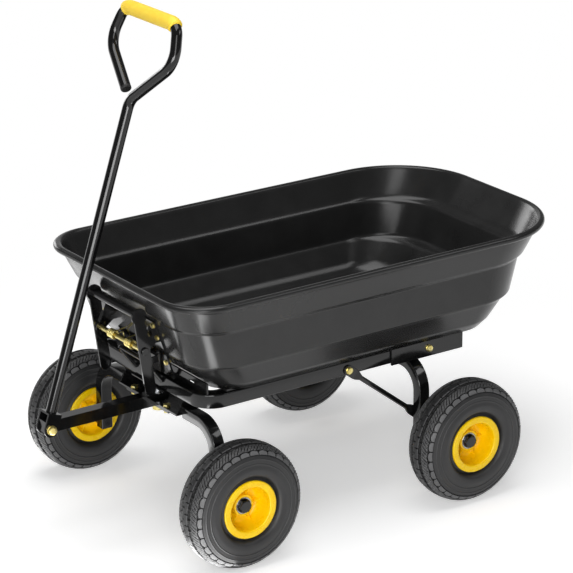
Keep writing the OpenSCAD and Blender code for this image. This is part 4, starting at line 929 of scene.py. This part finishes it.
def softened(levels, trim, steps=5):
    """A broken line whose corners are rounded: each corner becomes the curve
    (1-t)^2 a + 2t(1-t) p + t^2 b between points a and b on the runs beside it."""
    t = np.linspace(0, 1, steps + 1)[:, None]
    rows = [levels[:1]]
    for before, at, after in zip(levels, levels[1:], levels[2:]):
        a = at + (before - at) * min(0.45, trim / np.linalg.norm((before - at)[:2]))
        b = at + (after - at) * min(0.45, trim / np.linalg.norm((after - at)[:2]))
        rows.append((1 - t) ** 2 * a + 2 * t * (1 - t) * at + t ** 2 * b)
    return np.concatenate(rows + [levels[-1:]])


def tub_rings(levels):
    """The tub's outline at each level: a rectangle with its own corner radii at the front and rear, as
    arcs and straight runs with the same number of points at every level."""
    z, front_in, side_in, rear_in = levels.T[:, :, None]
    front, rear, half = LIP_FRONT_X - front_in, LIP_REAR_X + rear_in, LIP_HALF_W - side_in
    rf = FRONT_CORNER_R - FRONT_CORNER_RATE * front_in
    rr = REAR_CORNER_R - REAR_CORNER_RATE * rear_in
    corners = [(front - rf, half - rf, rf, 0, FRONT_CORNER_STEPS),
               (rear + rr, half - rr, rr, 90, REAR_CORNER_STEPS),
               (rear + rr, rr - half, rr, 180, REAR_CORNER_STEPS),
               (front - rf, rf - half, rf, 270, FRONT_CORNER_STEPS)]
    xs, ys = [], []
    for cx, cy, r, start, steps in corners:
        angle = np.radians(start + 90 * np.linspace(0, 1, steps + 1))
        xs.append(cx + r * np.cos(angle))
        ys.append(cy + r * np.sin(angle))
    x, y = [], []
    for i, count in enumerate(RUN_STEPS):
        share = np.linspace(0, 1, count, endpoint=False)[1:]
        x += [xs[i], xs[i][:, -1:] + (xs[(i + 1) % 4][:, :1] - xs[i][:, -1:]) * share]
        y += [ys[i], ys[i][:, -1:] + (ys[(i + 1) % 4][:, :1] - ys[i][:, -1:]) * share]
    x, y = np.concatenate(x, axis=1), np.concatenate(y, axis=1)
    return np.stack([x, y, z + TUB_Z + 0 * x], -1)


def closing(ring):
    """Rings that grow from the tub's middle towards a ring, at the ring's height."""
    middle = np.array([(LIP_FRONT_X + LIP_REAR_X) / 2, 0, 0])
    share = np.array([0.02, 0.4, 0.75, 0.95])[:, None, None]
    return (ring - middle) * (1, 1, 0) * share + middle + ring * (0, 0, 1)


def tub():
    """The wall from the underside up, over the rolled bead and down the inside, with soft steps; rings
    closing on the middle make the underside and the floor."""
    outside = softened(TUB_LEVELS, OUTER_TRIM)
    inside = softened(TUB_LEVELS + TUB_WALL, INNER_TRIM)[::-1]
    angle = np.radians(np.linspace(-90, 150, 15))
    bead_in = BEAD_R * (1 - np.cos(angle))
    bead = np.stack([LIP_Z - TUB_Z + BEAD_R * np.sin(angle), bead_in, bead_in, bead_in], -1)
    rings = tub_rings(np.concatenate([outside, bead, inside]))
    return [grid(np.concatenate([closing(rings[0]), rings, closing(rings[-1])[::-1]]))]


# Two pads under the tub rest on the rails.
pad = slab((PAD_X[0], RAIL_Y - PAD_HALF_W, TUB_Z - PAD_DROP),
           (PAD_X[1], RAIL_Y + PAD_HALF_W, TUB_Z + PAD_RISE))
put("tub_moulded", tub() + both_sides([pad]), "tub_plastic", "tipping_tub", "tub", sharp=60)

for side in ("left", "right"):
    eased(f"hinge_bracket_{side}", "black_steel", "tipping_tub")


def floor_bolt():
    """A countersunk head just under the tub's floor and a nut under the hinge's flange, along Z from the
    tub's underside."""
    thread, flats = M8[:2]
    end = HINGE_FLANGE_T + FLOOR_NUT_H
    nut = turned_over(hexagon(flats, HINGE_FLANGE_T, end))
    top = TUB_WALL - 0.3
    head = [(thread / 2, -end), (thread / 2, top - 2.2), (7.5, top - 0.1), (7.2, top), (3.2, top)]
    return [turned(head, 32), nut]


floor_bolts = []
for x in FLOOR_BOLTS_X:
    floor_bolts += standing(floor_bolt(), (x, FLOOR_BOLT_Y, TUB_Z), (0, 0, 1))
put("hinge_bracket_bolts_sunk", both_sides(floor_bolts), "zinc_steel", "tipping_tub", "hinge_bracket_bolts")


# Latch

eased("latch_bracket", "black_steel", "tipping_tub")
eased("release_lever", "black_steel", "latch_lever")

latch_bolts = []
for height, gripped in LATCH_BOLTS:
    latch_bolts += standing(bolt(*M6, gripped), (PLATE, LATCH_BOLT_Y, height), (1, 0, 0))
put("latch_bolts_hex", leaning(both_sides(latch_bolts), (LATCH_X, LATCH_Z), LATCH_TILT),
    "zinc_steel", "tipping_tub", "latch_bolts")

rod = standing([pin(ROD_D, -ROD_END, ROD_END, 0.5)], (ROD_X, 0, ROD_Z), (0, 1, 0))
put("lever_rod_turned", rod, "zinc_steel", "tipping_tub", "lever_rod")
head = standing([pin(ROD_HEAD_D, ROD_END, ROD_END + ROD_HEAD_H, 1.2)], (ROD_X, 0, ROD_Z), (0, 1, 0))
put("lever_rod_heads_riveted", both_sides(head), "black_steel", "tipping_tub", "lever_rod")


def at_lever(shapes):
    """Moves shapes from the lever's own frame, with the rod at its origin, to its place."""
    return leaning(shapes, (ROD_X, ROD_Z), LEVER_LEAN)


hand_bar = standing([pin(LEVER_BAR_D, -LEVER_HALF, LEVER_HALF, 0.6)], (0, 0, LEVER_UP), (0, 1, 0))
put("lever_bar_tube", at_lever(hand_bar), "black_steel", "latch_lever", "lever_bar")


def spring():
    """Round wire along a straight leg to the back plate, a helix about the rod, and a leg that bends down
    behind the lever's strip."""
    turn = np.linspace(0, SPRING_TURNS, int(SPRING_TURNS * 28) + 1)
    angle = math.pi / 2 - 2 * math.pi * turn
    coil = np.stack([SPRING_R * np.cos(angle), SPRING_PITCH * turn, SPRING_R * np.sin(angle)], -1)
    far_y = SPRING_PITCH * SPRING_TURNS
    plate_leg = np.linspace((-SPRING_PLATE_REACH, 0, SPRING_R), (-2, 0, SPRING_R), 8)
    strip_leg = bent([(-2, far_y, -SPRING_R), (-SPRING_STRIP_X, far_y, -SPRING_R),
                      (-SPRING_STRIP_X, far_y, -SPRING_STRIP_DROP)], [SPRING_LEG_BEND])
    path = np.concatenate([plate_leg, coil, strip_leg])
    path[:, 1] += SPRING_Y
    return [swept(path, circle(SPRING_WIRE, 12), (0, 1, 0))]


springs = put("lever_springs_wound", at_lever(both_sides(spring())), "zinc_steel", None, "lever_springs")

# The upper legs stay with the tub, the lower ones go with the lever, and the coils wind up between them.
winding = np.array([(0, 0, SPRING_WINDS), (0, 0, -SPRING_WINDS)])
coil_top, coil_foot = metres(at_lever([(winding, [])])[0][0]).tolist()
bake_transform(springs, "tipping_tub", "latch_lever", coil_top, coil_foot)


# Camera, as fitted to the photograph's wheels and tub

CAMERA_AZIMUTH = math.radians(145.642)
CAMERA_HEIGHT = math.radians(19.913)
CAMERA_ROLL = math.radians(-0.411)
CAMERA_DISTANCE = 5.706
CAMERA_AIM = np.array([-0.0065, 0.0215, 0.4370])
CAMERA_LENS = 174.3

a, e = CAMERA_AZIMUTH, CAMERA_HEIGHT
back = np.array([math.sin(a) * math.cos(e), -math.cos(a) * math.cos(e), math.sin(e)])
right = np.array([math.cos(a), math.sin(a), 0.0])
up = np.cross(back, right)
c, s = math.cos(CAMERA_ROLL), math.sin(CAMERA_ROLL)
turn = np.eye(4)
turn[:3, :3] = np.stack([c * right + s * up, c * up - s * right, back], -1)
turn[:3, 3] = CAMERA_AIM + CAMERA_DISTANCE * back
camera = bpy.data.objects.new("photo_camera", bpy.data.cameras.new("photo_camera"))
camera.data.lens = CAMERA_LENS
camera.data.sensor_width = 36
camera.data.clip_end = 100
camera.matrix_world = Matrix(turn.tolist())
bpy.context.scene.collection.objects.link(camera)
bpy.context.scene.camera = camera


# Floor and light

FLOOR_HALF = 20.0
FLOOR_LIFT = 0.42               # white that is seen on the paper on top of the light it throws back
FLOOR_WHITE_FROM = (0.75, 1.5)  # metres from the cart between which the paper turns to plain white
WORLD_LIGHT = 0.14

bpy.context.scene.view_settings.view_transform = "Standard"


def floor_finish():
    """Pale paper lit by the lamps near the cart, where it takes the shadow; further away the eye,
    metal and glass see plain white."""
    made = blank("pale paper floor")
    tree = made.node_tree
    place = add(tree, "ShaderNodeTexCoord", {}).outputs["Object"]
    path = add(tree, "ShaderNodeLightPath", {})
    reach = add(tree, "ShaderNodeVectorMath", {0: place}, operation="LENGTH")
    far = add(tree, "ShaderNodeMapRange", {
        "Value": reach.outputs["Value"], "From Min": FLOOR_WHITE_FROM[0], "From Max": FLOOR_WHITE_FROM[1]},
        interpolation_type="SMOOTHSTEP")
    seen = path.outputs["Is Camera Ray"]
    for ray in ("Is Glossy Ray", "Is Transmission Ray"):
        seen = add(tree, "ShaderNodeMath", {0: seen, 1: path.outputs[ray]}, operation="MAXIMUM").outputs[0]
    share = add(tree, "ShaderNodeMath", {0: far.outputs[0], 1: seen}, operation="MULTIPLY")
    paper = add(tree, "ShaderNodeBsdfDiffuse", {"Color": linear("#f6f6f6")})
    lift = add(tree, "ShaderNodeMath", {0: seen, 1: FLOOR_LIFT}, operation="MULTIPLY")
    glow = add(tree, "ShaderNodeEmission", {"Color": linear("#ffffff"), "Strength": lift.outputs[0]})
    lifted = add(tree, "ShaderNodeAddShader", {0: paper.outputs[0], 1: glow.outputs[0]})
    white = add(tree, "ShaderNodeEmission", {"Color": linear("#ffffff"), "Strength": 1.0})
    mixed = add(tree, "ShaderNodeMixShader", {
        0: share.outputs[0], 1: lifted.outputs[0], 2: white.outputs[0]})
    add(tree, "ShaderNodeOutputMaterial", {"Surface": mixed.outputs[0]})
    return made


floor_mesh = bpy.data.meshes.new("floor")
floor_mesh.from_pydata([(-FLOOR_HALF, -FLOOR_HALF, 0), (FLOOR_HALF, -FLOOR_HALF, 0),
                        (FLOOR_HALF, FLOOR_HALF, 0), (-FLOOR_HALF, FLOOR_HALF, 0)], [], [(0, 1, 2, 3)])
floor_mesh.materials.append(floor_finish())
floor = bpy.data.objects.new("floor", floor_mesh)
bpy.context.scene.collection.objects.link(floor)

world = bpy.data.worlds.new("studio")
world.use_nodes = True
world.node_tree.nodes["Background"].inputs["Color"].default_value = linear("#ffffff")
world.node_tree.nodes["Background"].inputs["Strength"].default_value = WORLD_LIGHT
bpy.context.scene.world = world


def softbox(name, place, target, size, watts, up=(0, 0, 1), gloss_only=False):
    """A rectangular studio lamp that faces a target, its width square to the up direction. A gloss card
    shows in reflections alone."""
    lamp = bpy.data.lights.new(name, "AREA")
    lamp.shape = "RECTANGLE"
    lamp.size, lamp.size_y = size
    lamp.energy = watts
    made = bpy.data.objects.new(name, lamp)
    z = unit(np.array(place) - np.array(target))
    x = unit(np.cross(up, z))
    turn = np.eye(4)
    turn[:3, :3] = np.stack([x, np.cross(z, x), z], -1)
    turn[:3, 3] = place
    made.matrix_world = Matrix(turn.tolist())
    made.visible_camera = False
    made.visible_diffuse = not gloss_only
    bpy.context.scene.collection.objects.link(made)


# Lamps: place, what they face, size in metres and watts
softbox("top_softbox", (0.2, 0.0, 3.3), (0, 0, 0), (2.4, 2.4), 66, up=(0, 1, 0))
softbox("front_softbox", (2.44, 2.48, 0.78), (0.43, 0, 0.65), (2.3, 0.9), 52)
softbox("camera_softbox", (1.9, 2.8, 2.0), (0, 0, 0.4), (1.2, 2.2), 27)
softbox("back_softbox", (-0.6, -4.6, 1.4), (0, 0, 0.4), (6.0, 3.0), 32)

# Two cards give the tub's ledges and its rear bowl their soft shine.
softbox("ledge_card", (-1.8, 1.9, 2.55), (0, -0.2, 0.45), (1.6, 0.8), 12, gloss_only=True)
softbox("back_card", (0.3, -3.6, 1.2), (-0.5, 0.1, 0.5), (1.6, 0.9), 20, gloss_only=True)

# Cards lying on the floor face up: they give the near front corner its streak and the front wall its sheen.
for name, place, size, watts, up in (
        ("corner_card", (0.51, 0.41, 0.02), (0.45, 0.14), 1.6, (0.68, -0.73, 0)),
        ("front_card", (0.41, -0.615, 0.02), (0.07, 0.67), 0.5, (0, 1, 0)),
        ("front_end_card", (0.55, -0.32, 0.02), (0.16, 0.26), 0.36, (0, 1, 0))):
    softbox(name, place, (place[0], place[1], 1), size, watts, up, gloss_only=True)
